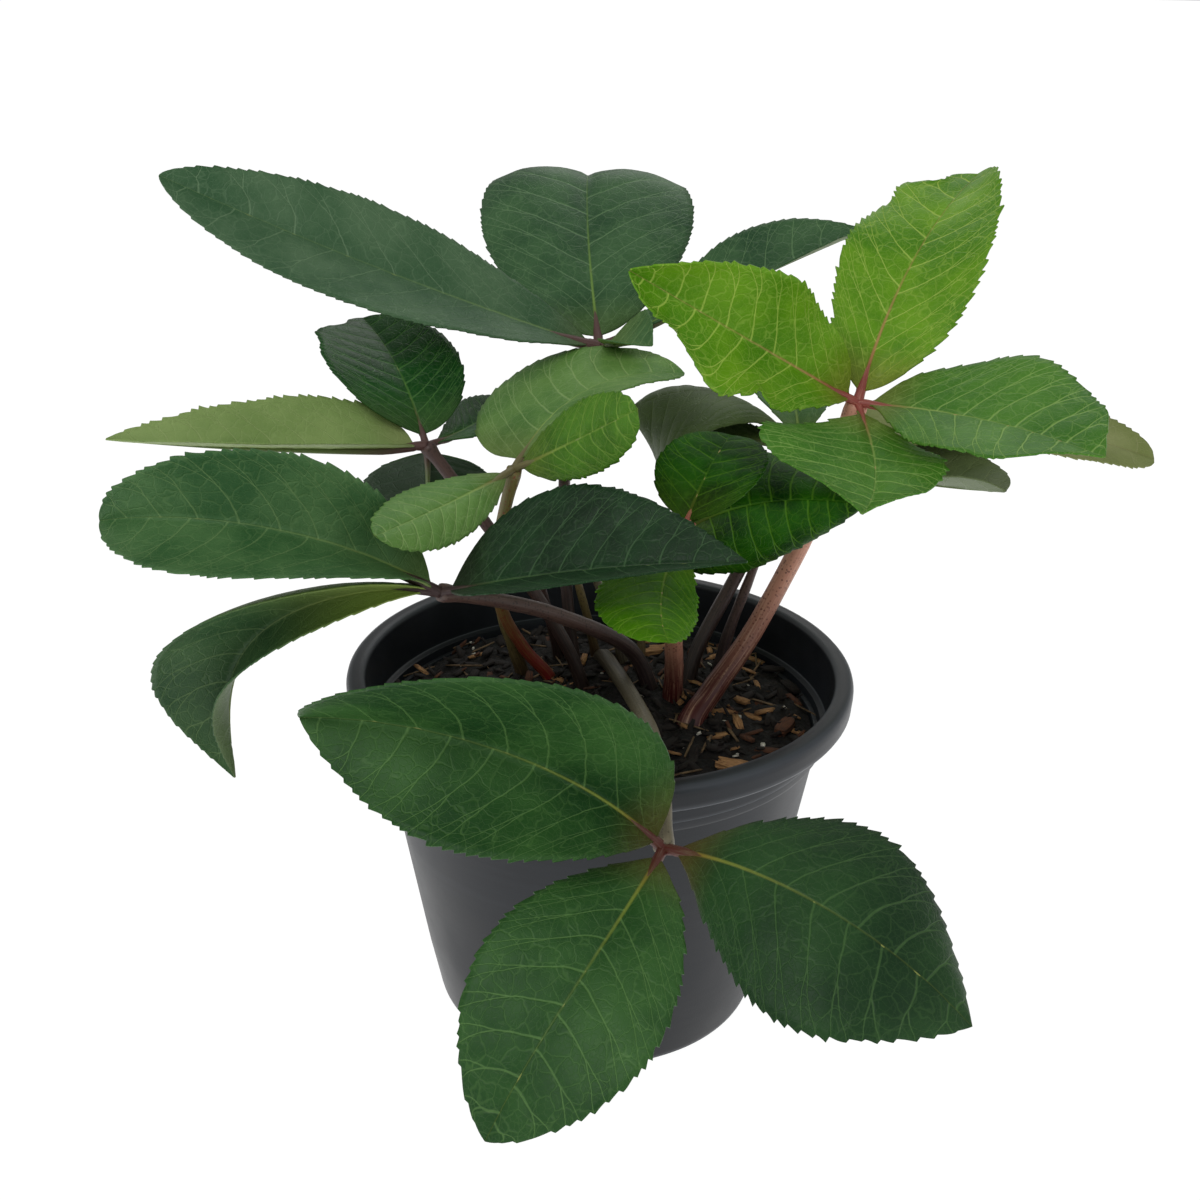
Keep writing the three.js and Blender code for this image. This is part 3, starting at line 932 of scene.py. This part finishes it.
    def dress(self, obj: bpy.types.Object, library: "Finishes") -> None:
        """Gives the blade its two faces' materials.

        Args:
            obj: The blade.
            library: The shared finishes.
        """
        spacing = self.length / self.vein_count() / 10
        finish = DRESS[self.name][0]
        obj.data.materials.append(finish.upper(library.veins, library.grain, self.length / 10, spacing))
        obj.data.materials.append(finish.lower(library.veins, library.grain, self.length / 10, spacing))


@dataclass
class Finishes:
    """Node groups that more than one material uses."""

    veins: bpy.types.NodeTree
    grain: bpy.types.NodeTree


@dataclass(frozen=True)
class StemFinish:
    """A petiole's skin: a base tone that deepens towards the foot, with streaks and speckles."""

    name: str
    foot: RGB
    shaft: RGB
    speck: RGB
    rib: RGB
    rib_end: RGB

    def shaft_material(self, grain: bpy.types.NodeTree) -> bpy.types.Material:
        """The petiole's material.

        Args:
            grain: The grain group.

        Returns:
            The material.
        """
        material, n, shader = new_material(self.name + "_shaft")
        place, _, along = n.uv("UVMap")
        soft = use_group(n, grain, {"Scale": 90.0, "Fine": 2200.0})
        streak = n.noise(n.stretched(place, 9.0, 2.0, 1.0), 3.0, 4)
        colour = n.mix(n.step(along, 0.1, 0.62), self.foot, self.shaft)
        colour = n.mix(n.step(streak, 0.45, 0.8, 0.0, 0.6), colour, self.speck)
        dots = n.step(n.cells(n.place(), 900.0), 0.2, 0.42, 1.0, 0.0)
        patch = n.step(n.noise(n.place(), 160.0, 2), 0.34, 0.6, 0.25, 1.0)
        colour = n.mix(n.math("MULTIPLY", n.math("MULTIPLY", dots, patch), 0.7), colour, self.foot)
        n.join(colour, shader.inputs["Base Color"])
        n.join(n.math("MULTIPLY_ADD", soft["Grain"], 0.2, 0.36), shader.inputs["Roughness"])
        tall = n.math("ADD", n.math("MULTIPLY", streak, 0.7), n.math("MULTIPLY", soft["Grain"], 0.3))
        n.join(n.bump(tall, 0.5, 0.0004), shader.inputs["Normal"])
        return material

    def rib_material(self, grain: bpy.types.NodeTree) -> bpy.types.Material:
        """The material of the hub and of the midribs that spread from it.

        Args:
            grain: The grain group.

        Returns:
            The material.
        """
        material, n, shader = new_material(self.name + "_ribs")
        place, _, along = n.uv("UVMap")
        soft = use_group(n, grain, {"Scale": 200.0, "Fine": 2200.0})
        streak = n.noise(n.stretched(place, 8.0, 5.0, 1.0), 3.0, 3)
        colour = n.mix(n.step(along, 0.06, 0.42), self.rib, self.rib_end)
        colour = n.mix(n.step(streak, 0.45, 0.8, 0.0, 0.35), colour, self.speck)
        n.join(colour, shader.inputs["Base Color"])
        n.join(n.math("MULTIPLY_ADD", soft["Grain"], 0.2, 0.38), shader.inputs["Roughness"])
        n.join(n.bump(streak, 0.4, 0.0003), shader.inputs["Normal"])
        return material


GREY_STEM = StemFinish("grey_stem", tone(60, 52, 40), tone(108, 100, 78), tone(140, 132, 104),
                       tone(84, 34, 26), tone(132, 140, 64))
PLUM_STEM = StemFinish("plum_stem", tone(40, 28, 32), tone(86, 64, 58), tone(126, 106, 94),
                       tone(58, 36, 36), tone(104, 124, 64))
PINK_STEM = StemFinish("pink_stem", tone(122, 26, 26), tone(112, 104, 56), tone(150, 146, 84),
                       tone(104, 96, 60), tone(130, 156, 84))
DARK_STEM = StemFinish("dark_stem", tone(36, 26, 24), tone(72, 50, 46), tone(104, 80, 70),
                       tone(84, 56, 52), tone(104, 126, 66))
RED_STEM = StemFinish("red_stem", tone(70, 8, 12), tone(206, 146, 122), tone(226, 184, 156),
                      tone(142, 62, 54), tone(160, 150, 84))
STRAW_STEM = StemFinish("straw_stem", tone(70, 52, 34), tone(112, 100, 62), tone(146, 132, 88),
                        tone(90, 70, 44), tone(120, 110, 70))
STEM_OF = {"a": GREY_STEM, "b": PLUM_STEM, "c": PINK_STEM, "d": DARK_STEM, "e": DARK_STEM, "f": RED_STEM,
           "g": RED_STEM, "h": DARK_STEM}


@dataclass
class Leaf:
    """One leaf: a grooved petiole with its swollen hub, and the midribs of its leaflets."""

    key: str
    sides: int = 16
    depth: float = 6.0

    def route(self) -> tuple[list[Vector], list[float]]:
        """Centre line and radii of the petiole, from inside the compost to the hub, in metres.

        Returns:
            The points and the radius at each.
        """
        foot, top, points = PETIOLES[self.key]
        first = Vector(points[0])
        spots = [first - Vector((0, 0, self.depth)), *(Vector(p) for p in points), Vector(HUBS[self.key])]
        path = catmull([p * MM for p in spots], 12)
        radii = []
        for i in range(len(path)):
            t = i / (len(path) - 1)
            flare = 0.45 * math.exp(-((t / 0.14) ** 2))
            knuckle = 0.3 * math.exp(-(((t - 0.985) / 0.03) ** 2))
            uneven = 0.05 * noise.noise(Vector((t * 14, len(path), 0.5)))
            radii.append((foot + (top - foot) * t ** 0.7) * (1 + flare + knuckle + uneven) * MM)
        return path, radii

    def rib(self, blade: Leaflet) -> tuple[list[Vector], list[float]]:
        """Centre line and radii of one midrib, from the hub to near the tip, in metres.

        Args:
            blade: The leaflet it carries.

        Returns:
            The points and the radius at each.
        """
        hub = Vector(HUBS[self.key])
        thick = 0.55 + blade.length / 110
        path = [hub * MM]
        radii = [thick * 1.25 * MM]
        for i in range(1, 5):
            point, _, _, up = blade.at(0)
            path.append((hub.lerp(point, i / 5) - up * 0.2) * MM)
            radii.append(thick * (1.25 - 0.05 * i) * MM)
        for i in range(26):
            u = i / 25 * 0.9
            point, _, _, up = blade.at(u)
            radius = thick * (1 - u) ** 1.1 * (0.55 if blade.fold < 0 else 1.0) + 0.12
            deep = 0.35 if blade.fold >= 0 else 0.8
            sink = radius * (0.25 + 0.75 * smooth(0.0, 0.12, u)) + deep * min(1.0, blade.half_width(u) / 4)
            path.append((point - up * sink) * MM)
            radii.append(radius * MM)
        return path, radii

    def build(self, blades: list[Leaflet]) -> bpy.types.Object:
        """Makes the petiole with its hub and midribs, standing for the petiole's node.

        Args:
            blades: The leaflets that this leaf carries.

        Returns:
            The piece.
        """
        bm = bmesh.new()
        bm.loops.layers.uv.new("UVMap")
        path, radii = self.route()
        sweep(bm, path, radii, 0.16, self.sides)
        for blade in blades:
            line, thick = self.rib(blade)
            sweep(bm, line, thick, 0.05, 10, 1)
        bmesh.ops.recalc_face_normals(bm, faces=bm.faces)
        name = "petiole_" + self.key
        return piece_from(bm, name, [name])

    def dress(self, obj: bpy.types.Object, library: Finishes) -> None:
        """Gives the petiole and the ribs their materials.

        Args:
            obj: The petiole.
            library: The shared finishes.
        """
        finish = STEM_OF[self.key]
        obj.data.materials.append(finish.shaft_material(library.grain))
        obj.data.materials.append(finish.rib_material(library.grain))


@dataclass(frozen=True)
class Stub:
    """An old thin petiole left standing in the crown. In mm."""

    name: str
    finish: StemFinish
    thick: float
    points: tuple

    def build(self, library: Finishes) -> bpy.types.Object:
        """Makes the stub.

        Args:
            library: The shared finishes.

        Returns:
            The piece.
        """
        bm = bmesh.new()
        bm.loops.layers.uv.new("UVMap")
        path = catmull([Vector(p) * MM for p in self.points], 8)
        count = len(path)
        radii = [self.thick * (1.25 - 0.6 * i / count + 0.05 * math.sin(i)) * MM for i in range(count)]
        sweep(bm, path, radii, 0.2, 12)
        bmesh.ops.recalc_face_normals(bm, faces=bm.faces)
        obj = piece_from(bm, self.name, [])
        obj.data.materials.append(self.finish.shaft_material(library.grain))
        return obj


STUBS = [
    Stub("old_petiole_1", STRAW_STEM, 2.1, ((-26, 24, 100), (-29, 18, 114), (-33, 13, 130), (-35, 11, 141))),
    Stub("old_petiole_2", DARK_STEM, 1.7, ((-14, 36, 100), (-17, 34, 116), (-21, 31, 134), (-24, 28, 150))),
    Stub("old_petiole_3", STRAW_STEM, 1.5, ((-1, 38, 100), (-4, 33, 118), (-8, 28, 136), (-12, 24, 156))),
    Stub("old_petiole_4", GREY_STEM, 1.6, ((9, 30, 100), (4, 33, 120), (-4, 36, 140), (-10, 38, 158))),
    Stub("old_petiole_5", PLUM_STEM, 1.9, ((40, 24, 100), (44, 27, 118), (51, 31, 138), (59, 36, 160))),
    Stub("old_petiole_6", STRAW_STEM, 1.3, ((14, 22, 100), (14, 24, 116), (12, 28, 134), (9, 32, 148))),
]


# ---------------------------------------------------------------- pot


@dataclass(frozen=True)
class PotPlastic:
    """Moulded charcoal plastic: satin, a little dusty, with faint flow marks round the wall."""

    body: RGB = tone(26, 29, 34)
    dusty: RGB = tone(50, 55, 62)
    # Painted highlight: the pale tone given to the pot's convex edges.
    edge: RGB = tone(96, 102, 110)
    # Painted shade: the dark tone that the wall takes on towards its foot.
    painted_foot_shade: RGB = tone(12, 14, 17)

    def material(self, grain: bpy.types.NodeTree) -> bpy.types.Material:
        """The plastic's material.

        Args:
            grain: The grain group.

        Returns:
            The material.
        """
        material, n, shader = new_material("pot_plastic")
        soft = use_group(n, grain, {"Scale": 24.0, "Fine": 1800.0})
        flow = n.noise(n.stretched(n.place(), 14.0, 14.0, 240.0), 1.0, 3)
        colour = n.mix(n.math("MULTIPLY", soft["Cloud"], 0.35), self.body, self.dusty)
        colour = n.mix(n.step(flow, 0.5, 0.75, 0.0, 0.16), colour, self.dusty)
        # Painted shade: the plastic darkens towards the bottom of the pot, standing in for shade there.
        foot = n.step(n.split(n.place())[2], 0.0, 0.1, 0.62, 0.0)
        colour = n.mix(foot, colour, self.painted_foot_shade)
        # Painted highlight: convex edges, such as the rolls of the rim and the steps of the collar, are
        # lightened towards the edge tone.
        bend = n.add("ShaderNodeNewGeometry").outputs["Pointiness"]
        painted_edge_highlight = n.step(bend, 0.515, 0.56, 0.0, 0.5)
        colour = n.mix(painted_edge_highlight, colour, self.edge)
        n.join(colour, shader.inputs["Base Color"])
        shader.inputs["Specular IOR Level"].default_value = 0.3
        n.join(n.math("MULTIPLY_ADD", soft["Cloud"], 0.12, 0.36), shader.inputs["Roughness"])
        tall = n.math("ADD", n.math("MULTIPLY", flow, 0.6), n.math("MULTIPLY", soft["Grain"], 0.4))
        n.join(n.bump(tall, 0.25, 0.0003), shader.inputs["Normal"])
        return material


@dataclass
class NurseryPot:
    """A tapered round pot with a banded collar, a rolled rim, an inner ledge and drain slots. In mm."""

    base: float = 56.0
    collar_radius: float = 73.0
    collar: float = 103.0
    rim: float = 82.5
    mouth: float = 76.3
    height: float = 120.0
    wall: float = 1.6
    floor: float = 2.2
    steps: int = 144
    slots: int = 6
    slot_radius: float = 41.0
    slot_width: float = 11.0
    slot_corner: float = 2.5
    sharp: float = 48.0

    def wall_radius(self, z: float) -> float:
        """Outer radius of the plain wall at a height."""
        return self.base + (self.collar_radius - self.base) * z / self.collar

    def profile(self) -> list[tuple[float, float]]:
        """The pot's half section: up the outside, over the rim and down the inside.

        Returns:
            Radius and height of each point.
        """
        r, h, c = self.rim, self.height, self.collar
        low = self.wall_radius(c)
        inner = self.wall_radius(100) - self.wall
        outside = [(0, 0), (30, 0), (self.base - 2.6, 0), (self.base - 1.2, 0.4), (self.base - 0.4, 1.2),
                   (self.base, 2.8), (self.base + 0.3, 4.5)]
        outside += [(self.wall_radius(z), z) for z in (20, 40, 60, 80, 96, c - 1.2)]
        collar = [(low, c - 0.3), (low + 0.9, c + 0.1), (low + 1.9, c + 0.3), (low + 2.2, c + 0.8),
                  (low + 2.3, c + 2), (low + 2.8, 108), (low + 3.0, 110.2), (low + 3.4, 111.2)]
        rolled = [(r - 4.2, 111.4), (r - 1.6, 111.5), (r - 0.7, 111.8), (r - 0.3, 112.5), (r - 0.2, 114),
                  (r, 116.4), (r, 117.6), (r - 0.3, 118.8), (r - 1.1, 119.7), (r - 2.2, h), (r - 4.0, h),
                  (self.mouth + 0.9, h - 0.2), (self.mouth + 0.2, h - 0.9), (self.mouth, h - 2)]
        inside = [(self.mouth - 1.2, 105), (self.mouth - 1.4, 101.4), (self.mouth - 2.0, 100.4),
                  (inner + 0.3, 100), (inner, 99), (self.wall_radius(50) - self.wall, 50),
                  (self.base - self.wall + 0.4, 5),
                  (self.base - self.wall - 1.2, self.floor + 0.4), (self.base - self.wall - 3, self.floor),
                  (30, self.floor), (0, self.floor)]
        return outside + collar + rolled + inside

    def build(self) -> bpy.types.Object:
        """Turns the section and cuts the drain slots.

        Returns:
            The piece.
        """
        bm = bmesh.new()
        section = [Vector((x, 0, z)) * MM for x, z in self.profile()]
        last = bmesh.ops.create_vert(bm, co=section[0])["vert"][0]
        for point in section[1:]:
            last = bmesh.ops.extrude_vert_indiv(bm, verts=[last])["verts"][0]
            last.co = point
        bmesh.ops.spin(bm, geom=[*bm.verts, *bm.edges], cent=(0, 0, 0), axis=(0, 0, 1), angle=2 * math.pi,
                       steps=self.steps, use_merge=True)
        bmesh.ops.remove_doubles(bm, verts=bm.verts, dist=1e-6)
        bmesh.ops.recalc_face_normals(bm, faces=bm.faces)
        shell = bpy.data.meshes.new("shell")
        bm.to_mesh(shell)
        bm.free()
        body = bpy.data.objects.new("shell", shell)
        cutter = self.slot_cutter()
        for obj in (body, cutter):
            bpy.context.scene.collection.objects.link(obj)
        cut = body.modifiers.new("Slots", "BOOLEAN")
        cut.object = cutter
        cut.solver = "EXACT"
        bpy.context.view_layer.update()
        done = bpy.data.meshes.new_from_object(body.evaluated_get(bpy.context.evaluated_depsgraph_get()))
        bm = bmesh.new()
        bm.from_mesh(done)
        for obj in (body, cutter):
            bpy.data.objects.remove(obj)
        pot = piece_from(bm, "pot_moulding", ["pot"])
        pot.data.set_sharp_from_angle(angle=math.radians(self.sharp))
        return pot

    def slot_cutter(self) -> bpy.types.Object:
        """Rounded blocks that cut the drain slots through the floor.

        Returns:
            A scratch object.
        """
        bm = bmesh.new()
        for i in range(self.slots):
            turn = Matrix.Rotation(math.radians(30 + 360 / self.slots * i), 4, "Z")
            shift = Matrix.Translation((self.slot_radius * MM, 0, 0))
            made = bmesh.ops.create_cube(bm, size=self.slot_width * MM, matrix=turn @ shift)
            upright = [e for e in {e for v in made["verts"] for e in v.link_edges}
                       if abs(e.verts[0].co.z - e.verts[1].co.z) > 0.001]
            bmesh.ops.bevel(bm, geom=upright, offset=self.slot_corner * MM, segments=4, profile=0.5,
                            affect="EDGES", material=-1)
        mesh = bpy.data.meshes.new("slots")
        bm.to_mesh(mesh)
        bm.free()
        return bpy.data.objects.new("slots", mesh)

    def dress(self, obj: bpy.types.Object, library: Finishes) -> None:
        """Gives the pot its plastic."""
        obj.data.materials.clear()
        obj.data.materials.append(PotPlastic().material(library.grain))


# ---------------------------------------------------------------- compost


def soil_height(x: float, y: float) -> float:
    """Height of the compost's surface in mm, with its crumbs and the mound round the crown.

    Args:
        x: Place along X, in mm.
        y: Place along Y, in mm.

    Returns:
        The height above the pot's base.
    """
    r = math.hypot(x, y)
    mound = 2.2 * math.exp(-(((x - 20) / 24) ** 2 + (y / 22) ** 2))
    lumps = 1.5 * noise.fractal(Vector((x / 9, y / 9, 4)), 0.8, 2.1, 4)
    crumbs = 0.9 * abs(noise.noise(Vector((x / 2.2, y / 2.2, 9))))
    return 105.2 - 3.4 * (r / 72) ** 2 + mound + lumps + crumbs


@dataclass(frozen=True)
class Crumbs:
    """Moist dark compost with brown fibres and crumbs."""

    dark: RGB = tone(8, 6, 6)
    brown: RGB = tone(32, 22, 16)
    fibre: RGB = tone(84, 62, 40)

    def material(self) -> bpy.types.Material:
        """The compost's material.

        Returns:
            The material.
        """
        material, n, shader = new_material("compost")
        place = n.place()
        colour = n.mix(n.step(n.noise(place, 420.0, 5, 0.7), 0.42, 0.72), self.dark, self.brown)
        strand = n.noise(n.stretched(place, 300.0, 1200.0, 600.0), 1.0, 4, 0.7)
        colour = n.mix(n.step(strand, 0.62, 0.74, 0.0, 0.6), colour, self.fibre)
        n.join(colour, shader.inputs["Base Color"])
        n.join(n.step(n.noise(place, 700.0, 2), 0.3, 0.7, 0.75, 0.98), shader.inputs["Roughness"])
        n.join(n.bump(n.noise(place, 900.0, 5, 0.75), 0.9, 0.0012), shader.inputs["Normal"])
        return material


@dataclass(frozen=True)
class Splinter:
    """Broken bark or wood: a tone with darker grain along its length."""

    name: str
    face: RGB
    grain_tone: RGB

    def material(self) -> bpy.types.Material:
        """The splinter's material.

        Returns:
            The material.
        """
        material, n, shader = new_material(self.name)
        place, _, _ = n.uv("UVMap")
        lines = n.noise(n.stretched(place, 1.2, 14.0, 1.0), 2.0, 4)
        patch = n.noise(n.place(), 260.0, 3)
        colour = n.mix(n.step(lines, 0.35, 0.7), self.face, self.grain_tone)
        colour = n.mix(n.step(patch, 0.5, 0.7, 0.0, 0.55), colour, self.grain_tone)
        n.join(colour, shader.inputs["Base Color"])
        shader.inputs["Roughness"].default_value = 0.85
        n.join(n.bump(lines, 0.8, 0.0005), shader.inputs["Normal"])
        return material


TAN_BARK = Splinter("tan_bark", tone(188, 142, 94), tone(112, 74, 44))
RUST_BARK = Splinter("rust_bark", tone(104, 60, 34), tone(44, 26, 18))
DARK_BARK = Splinter("dark_bark", tone(33, 22, 17), tone(11, 8, 7))
PERLITE = Splinter("perlite", tone(226, 222, 212), tone(180, 172, 160))
TWIG = Splinter("twig", tone(132, 108, 78), tone(78, 60, 42))

# Large bark chips: length and width in mm, turn in degrees and finish.
CHIPS = {
    1: (17, 7, 12, TAN_BARK),
    2: (14, 6, -38, RUST_BARK),
    3: (13, 6, 20, TAN_BARK),
    4: (15, 7, -24, TAN_BARK),
    5: (10, 5, 60, RUST_BARK),
    6: (14, 6, 35, RUST_BARK),
}


@dataclass
class Compost:
    """The compost plug with what lies on it: bark, perlite and twigs. In mm."""

    radius: float = 70.2
    foot: float = 52.0
    low: float = 2.6
    shoulder: float = 97.0
    strewn: float = 69.0
    cells: int = 130
    seed: int = 7

    def plug(self) -> bpy.types.Object:
        """The compost itself, rough on top and closed below.

        Returns:
            The piece.
        """
        bm = bmesh.new()
        bmesh.ops.create_grid(bm, x_segments=self.cells, y_segments=self.cells, size=1.0)
        for vert in bm.verts:
            x, y = vert.co.x, vert.co.y
            px = x * math.sqrt(1 - y * y / 2) * self.radius
            py = y * math.sqrt(1 - x * x / 2) * self.radius
            brim = smooth(0.93, 1.0, math.hypot(px, py) / self.radius)
            vert.co = Vector((px, py, soil_height(px, py) - 2.0 * brim)) * MM
        rim = [e for e in bm.edges if e.is_boundary]
        rings = ((self.radius, self.shoulder), (self.foot, self.low + 4), (self.foot - 2, self.low))
        for radius, height in rings:
            grown = bmesh.ops.extrude_edge_only(bm, edges=rim)["geom"]
            fresh = [g for g in grown if isinstance(g, bmesh.types.BMVert)]
            rim = [g for g in grown if isinstance(g, bmesh.types.BMEdge)]
            for vert in fresh:
                out = Vector((vert.co.x, vert.co.y)).normalized() * radius * MM
                vert.co = (out.x, out.y, height * MM)
        bmesh.ops.contextual_create(bm, geom=[e for e in bm.edges if e.is_boundary])
        bmesh.ops.recalc_face_normals(bm, faces=bm.faces)
        obj = piece_from(bm, "compost_bed", ["compost"])
        obj.data.materials.append(Crumbs().material())
        return obj

    def flake(self, centre: Vector, size: Vector, turn: float, tilt: float, dice: random.Random,
              cuts: int = 1) -> bmesh.types.BMesh:
        """Makes one broken flake: a block worn to a splinter with uneven corners.

        Args:
            centre: Its centre, in mm.
            size: Its length, width and thickness, in mm.
            turn: Its turn about the vertical, in degrees.
            tilt: How far it leans, in degrees.
            dice: The seeded dice.
            cuts: Number of cuts along each edge.

        Returns:
            The flake, in metres.
        """
        bm = bmesh.new()
        uv = bm.loops.layers.uv.new("UVMap")
        bmesh.ops.create_cube(bm, size=1.0)
        bmesh.ops.subdivide_edges(bm, edges=bm.edges, cuts=cuts, use_grid_fill=True)
        spin = Matrix.Rotation(math.radians(turn), 3, "Z") @ Matrix.Rotation(math.radians(tilt), 3, "Y")
        shear = dice.uniform(-0.3, 0.3)
        taper = dice.uniform(0.3, 0.8)
        for vert in bm.verts:
            x, y, z = vert.co
            narrow = 1 - taper * abs(x)
            px = x + dice.uniform(-0.07, 0.07)
            py = (y + shear * x) * narrow + dice.uniform(-0.06, 0.06)
            local = Vector((px, py, z * (1 - 0.4 * abs(y)) + dice.uniform(-0.09, 0.09)))
            for loop in vert.link_loops:
                loop[uv].uv = (local.x * size.x / 8, local.y * size.y / 8 + local.z * 0.4)
            vert.co = (centre + spin @ Vector((local.x * size.x, local.y * size.y, local.z * size.z))) * MM
        bmesh.ops.recalc_face_normals(bm, faces=bm.faces)
        return bm

    def chip(self, index: int) -> bpy.types.Object:
        """One large bark chip, where the frame has it.

        Args:
            index: The chip's number.

        Returns:
            The piece.
        """
        node = f"bark_chip_{index}"
        low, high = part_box(node)
        low, high = Vector(low) / MM, Vector(high) / MM
        dice = random.Random(self.seed + index)
        middle = (low + high) / 2
        middle.z = soil_height(middle.x, middle.y) + 1.3
        long, wide, turn, finish = CHIPS[index]
        bm = self.flake(middle, Vector((long, wide, 2.6)), turn, dice.uniform(-8, 8), dice, 4)
        edges = [e for e in bm.edges if e.calc_face_angle(0) > 0.6]
        bmesh.ops.bevel(bm, geom=edges, offset=0.25 * MM, segments=2, profile=0.5, affect="EDGES",
                        material=-1)
        bmesh.ops.recalc_face_normals(bm, faces=bm.faces)
        obj = piece_from(bm, node + "_rough", [node])
        obj.data.materials.append(finish.material())
        return obj

    def litter(self, name: str, count: int, sizes: tuple[float, float], thin: float, finish: Splinter,
               seed: int, lean: float = 35.0) -> bpy.types.Object:
        """Many small flakes strewn over the compost, in one piece.

        Args:
            name: The piece's name.
            count: How many there are.
            sizes: Least and greatest length, in mm.
            thin: Width as a share of the length.
            finish: Their finish.
            seed: The dice's seed.
            lean: The most that one leans, in degrees.

        Returns:
            The piece.
        """
        dice = random.Random(seed)
        scratch = bpy.data.meshes.new("scratch")
        bm = bmesh.new()
        for _ in range(count):
            r = self.strewn * math.sqrt(dice.random())
            angle = dice.uniform(0, 2 * math.pi)
            x, y = r * math.cos(angle), r * math.sin(angle)
            long = dice.uniform(*sizes)
            wide = long * thin * dice.uniform(0.6, 1.3)
            tilt = dice.uniform(-lean, lean) * (1 if long < 7 else 0.3)
            z = soil_height(x, y) + dice.uniform(0.0, 0.8)
            size = Vector((long, wide, max(0.45, wide * 0.32)))
            one = self.flake(Vector((x, y, z)), size, dice.uniform(0, 360), tilt, dice)
            one.to_mesh(scratch)
            one.free()
            bm.from_mesh(scratch)
        bpy.data.meshes.remove(scratch)
        obj = piece_from(bm, name, [])
        obj.data.materials.append(finish.material())
        return obj

    def build(self) -> list[bpy.types.Object]:
        """Makes the compost and all that lies on it.

        Returns:
            The pieces.
        """
        made = [self.plug()]
        made += [self.chip(index) for index in CHIPS]
        made.append(self.litter("bark_tan", 70, (2.5, 8.5), 0.4, TAN_BARK, 11))
        made.append(self.litter("bark_rust", 110, (2.0, 8.0), 0.36, RUST_BARK, 12, 50))
        made.append(self.litter("bark_dark", 620, (1.8, 8.0), 0.42, DARK_BARK, 13, 60))
        made.append(self.litter("perlite_grains", 40, (0.9, 2.2), 0.9, PERLITE, 14))
        made.append(self.litter("twigs", 90, (5.0, 15.0), 0.06, TWIG, 15, 18))
        return made


# ---------------------------------------------------------------- studio


@dataclass
class Studio:
    """Camera, soft lights and a plain pale floor."""

    eye: tuple[float, float, float] = (0.0, -0.4198, 0.3227)
    aim: tuple[float, float, float] = (-0.0004, 0.0, 0.142)
    roll: float = 0.85
    lens: float = 42.5
    reach: float = 400.0
    glow: float = 0.98
    sky: float = 0.4

    def camera(self) -> None:
        """Sets the camera."""
        data = bpy.data.cameras.new("view")
        data.lens = self.lens
        data.sensor_width = 36
        data.clip_start = 0.01
        camera = bpy.data.objects.new("view", data)
        bpy.context.scene.collection.objects.link(camera)
        ahead = (Vector(self.aim) - Vector(self.eye)).normalized()
        turn = ahead.to_track_quat("-Z", "Y").to_matrix().to_4x4()
        tip = Matrix.Rotation(math.radians(self.roll), 4, "Z")
        camera.matrix_world = Matrix.Translation(self.eye) @ turn @ tip
        bpy.context.scene.camera = camera

    def light(self, name: str, place: tuple, power: float, size: float, colour: RGB = (1, 1, 1)) -> None:
        """Adds one soft area light that shines at the plant.

        Args:
            name: The light's name.
            place: Where it stands.
            power: Its power in watts.
            size: Its side in metres.
            colour: Its colour.
        """
        data = bpy.data.lights.new(name, "AREA")
        data.energy = power
        data.size = size
        data.color = colour
        lamp = bpy.data.objects.new(name, data)
        bpy.context.scene.collection.objects.link(lamp)
        way = (Vector((0, 0, 0.15)) - Vector(place)).to_track_quat("-Z", "Y")
        lamp.matrix_world = Matrix.Translation(place) @ way.to_matrix().to_4x4()

    def floor(self) -> None:
        """Lays the pale floor."""
        bm = bmesh.new()
        bmesh.ops.create_circle(bm, cap_ends=True, radius=self.reach, segments=96)
        mesh = bpy.data.meshes.new("floor")
        bm.to_mesh(mesh)
        bm.free()
        ground = bpy.data.objects.new("floor", mesh)
        bpy.context.scene.collection.objects.link(ground)
        ground.location.z = -0.0005
        material, _, shader = new_material("pale_floor")
        shader.inputs["Base Color"].default_value = (0.1, 0.1, 0.1, 1)
        shader.inputs["Roughness"].default_value = 0.9
        shader.inputs["Specular IOR Level"].default_value = 0.0
        shader.inputs["Emission Color"].default_value = (1, 1, 1, 1)
        shader.inputs["Emission Strength"].default_value = self.glow
        mesh.materials.append(material)

    def build(self) -> None:
        """Sets the whole studio."""
        self.camera()
        self.floor()
        world = bpy.data.worlds.new("studio")
        bpy.context.scene.world = world
        world.use_nodes = True
        back = next(x for x in world.node_tree.nodes if x.type == "BACKGROUND")
        back.inputs[0].default_value = (1.0, 1.0, 0.98, 1)
        back.inputs[1].default_value = self.sky
        self.light("key", (-0.5, -0.8, 1.1), 5.5, 0.7)
        self.light("fill", (0.9, -0.7, 0.7), 1.5, 0.9)
        self.light("back", (0.2, 0.9, 1.0), 2.5, 0.8)
        bpy.context.scene.view_settings.view_transform = "Standard"


def main() -> None:
    """Builds the studio, the pot, the compost and the plant, and reports each piece."""
    logging.basicConfig(level=logging.INFO, format="%(message)s")
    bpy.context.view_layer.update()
    Studio().build()
    library = Finishes(vein_group(), grain_group())
    pot = NurseryPot()
    moulding = pot.build()
    pot.dress(moulding, library)
    report(moulding)
    for obj in Compost().build():
        report(obj)
    blades = [Leaflet(*row) for row in LEAFLETS]
    for blade in blades:
        obj = blade.build()
        blade.dress(obj, library)
        report(obj)
    for key in HUBS:
        leaf = Leaf(key)
        stem = leaf.build([b for b in blades if b.name[0] == key])
        leaf.dress(stem, library)
        report(stem)
    for stub in STUBS:
        report(stub.build(library))
    bpy.context.view_layer.update()


if __name__ == "__main__":
    main()
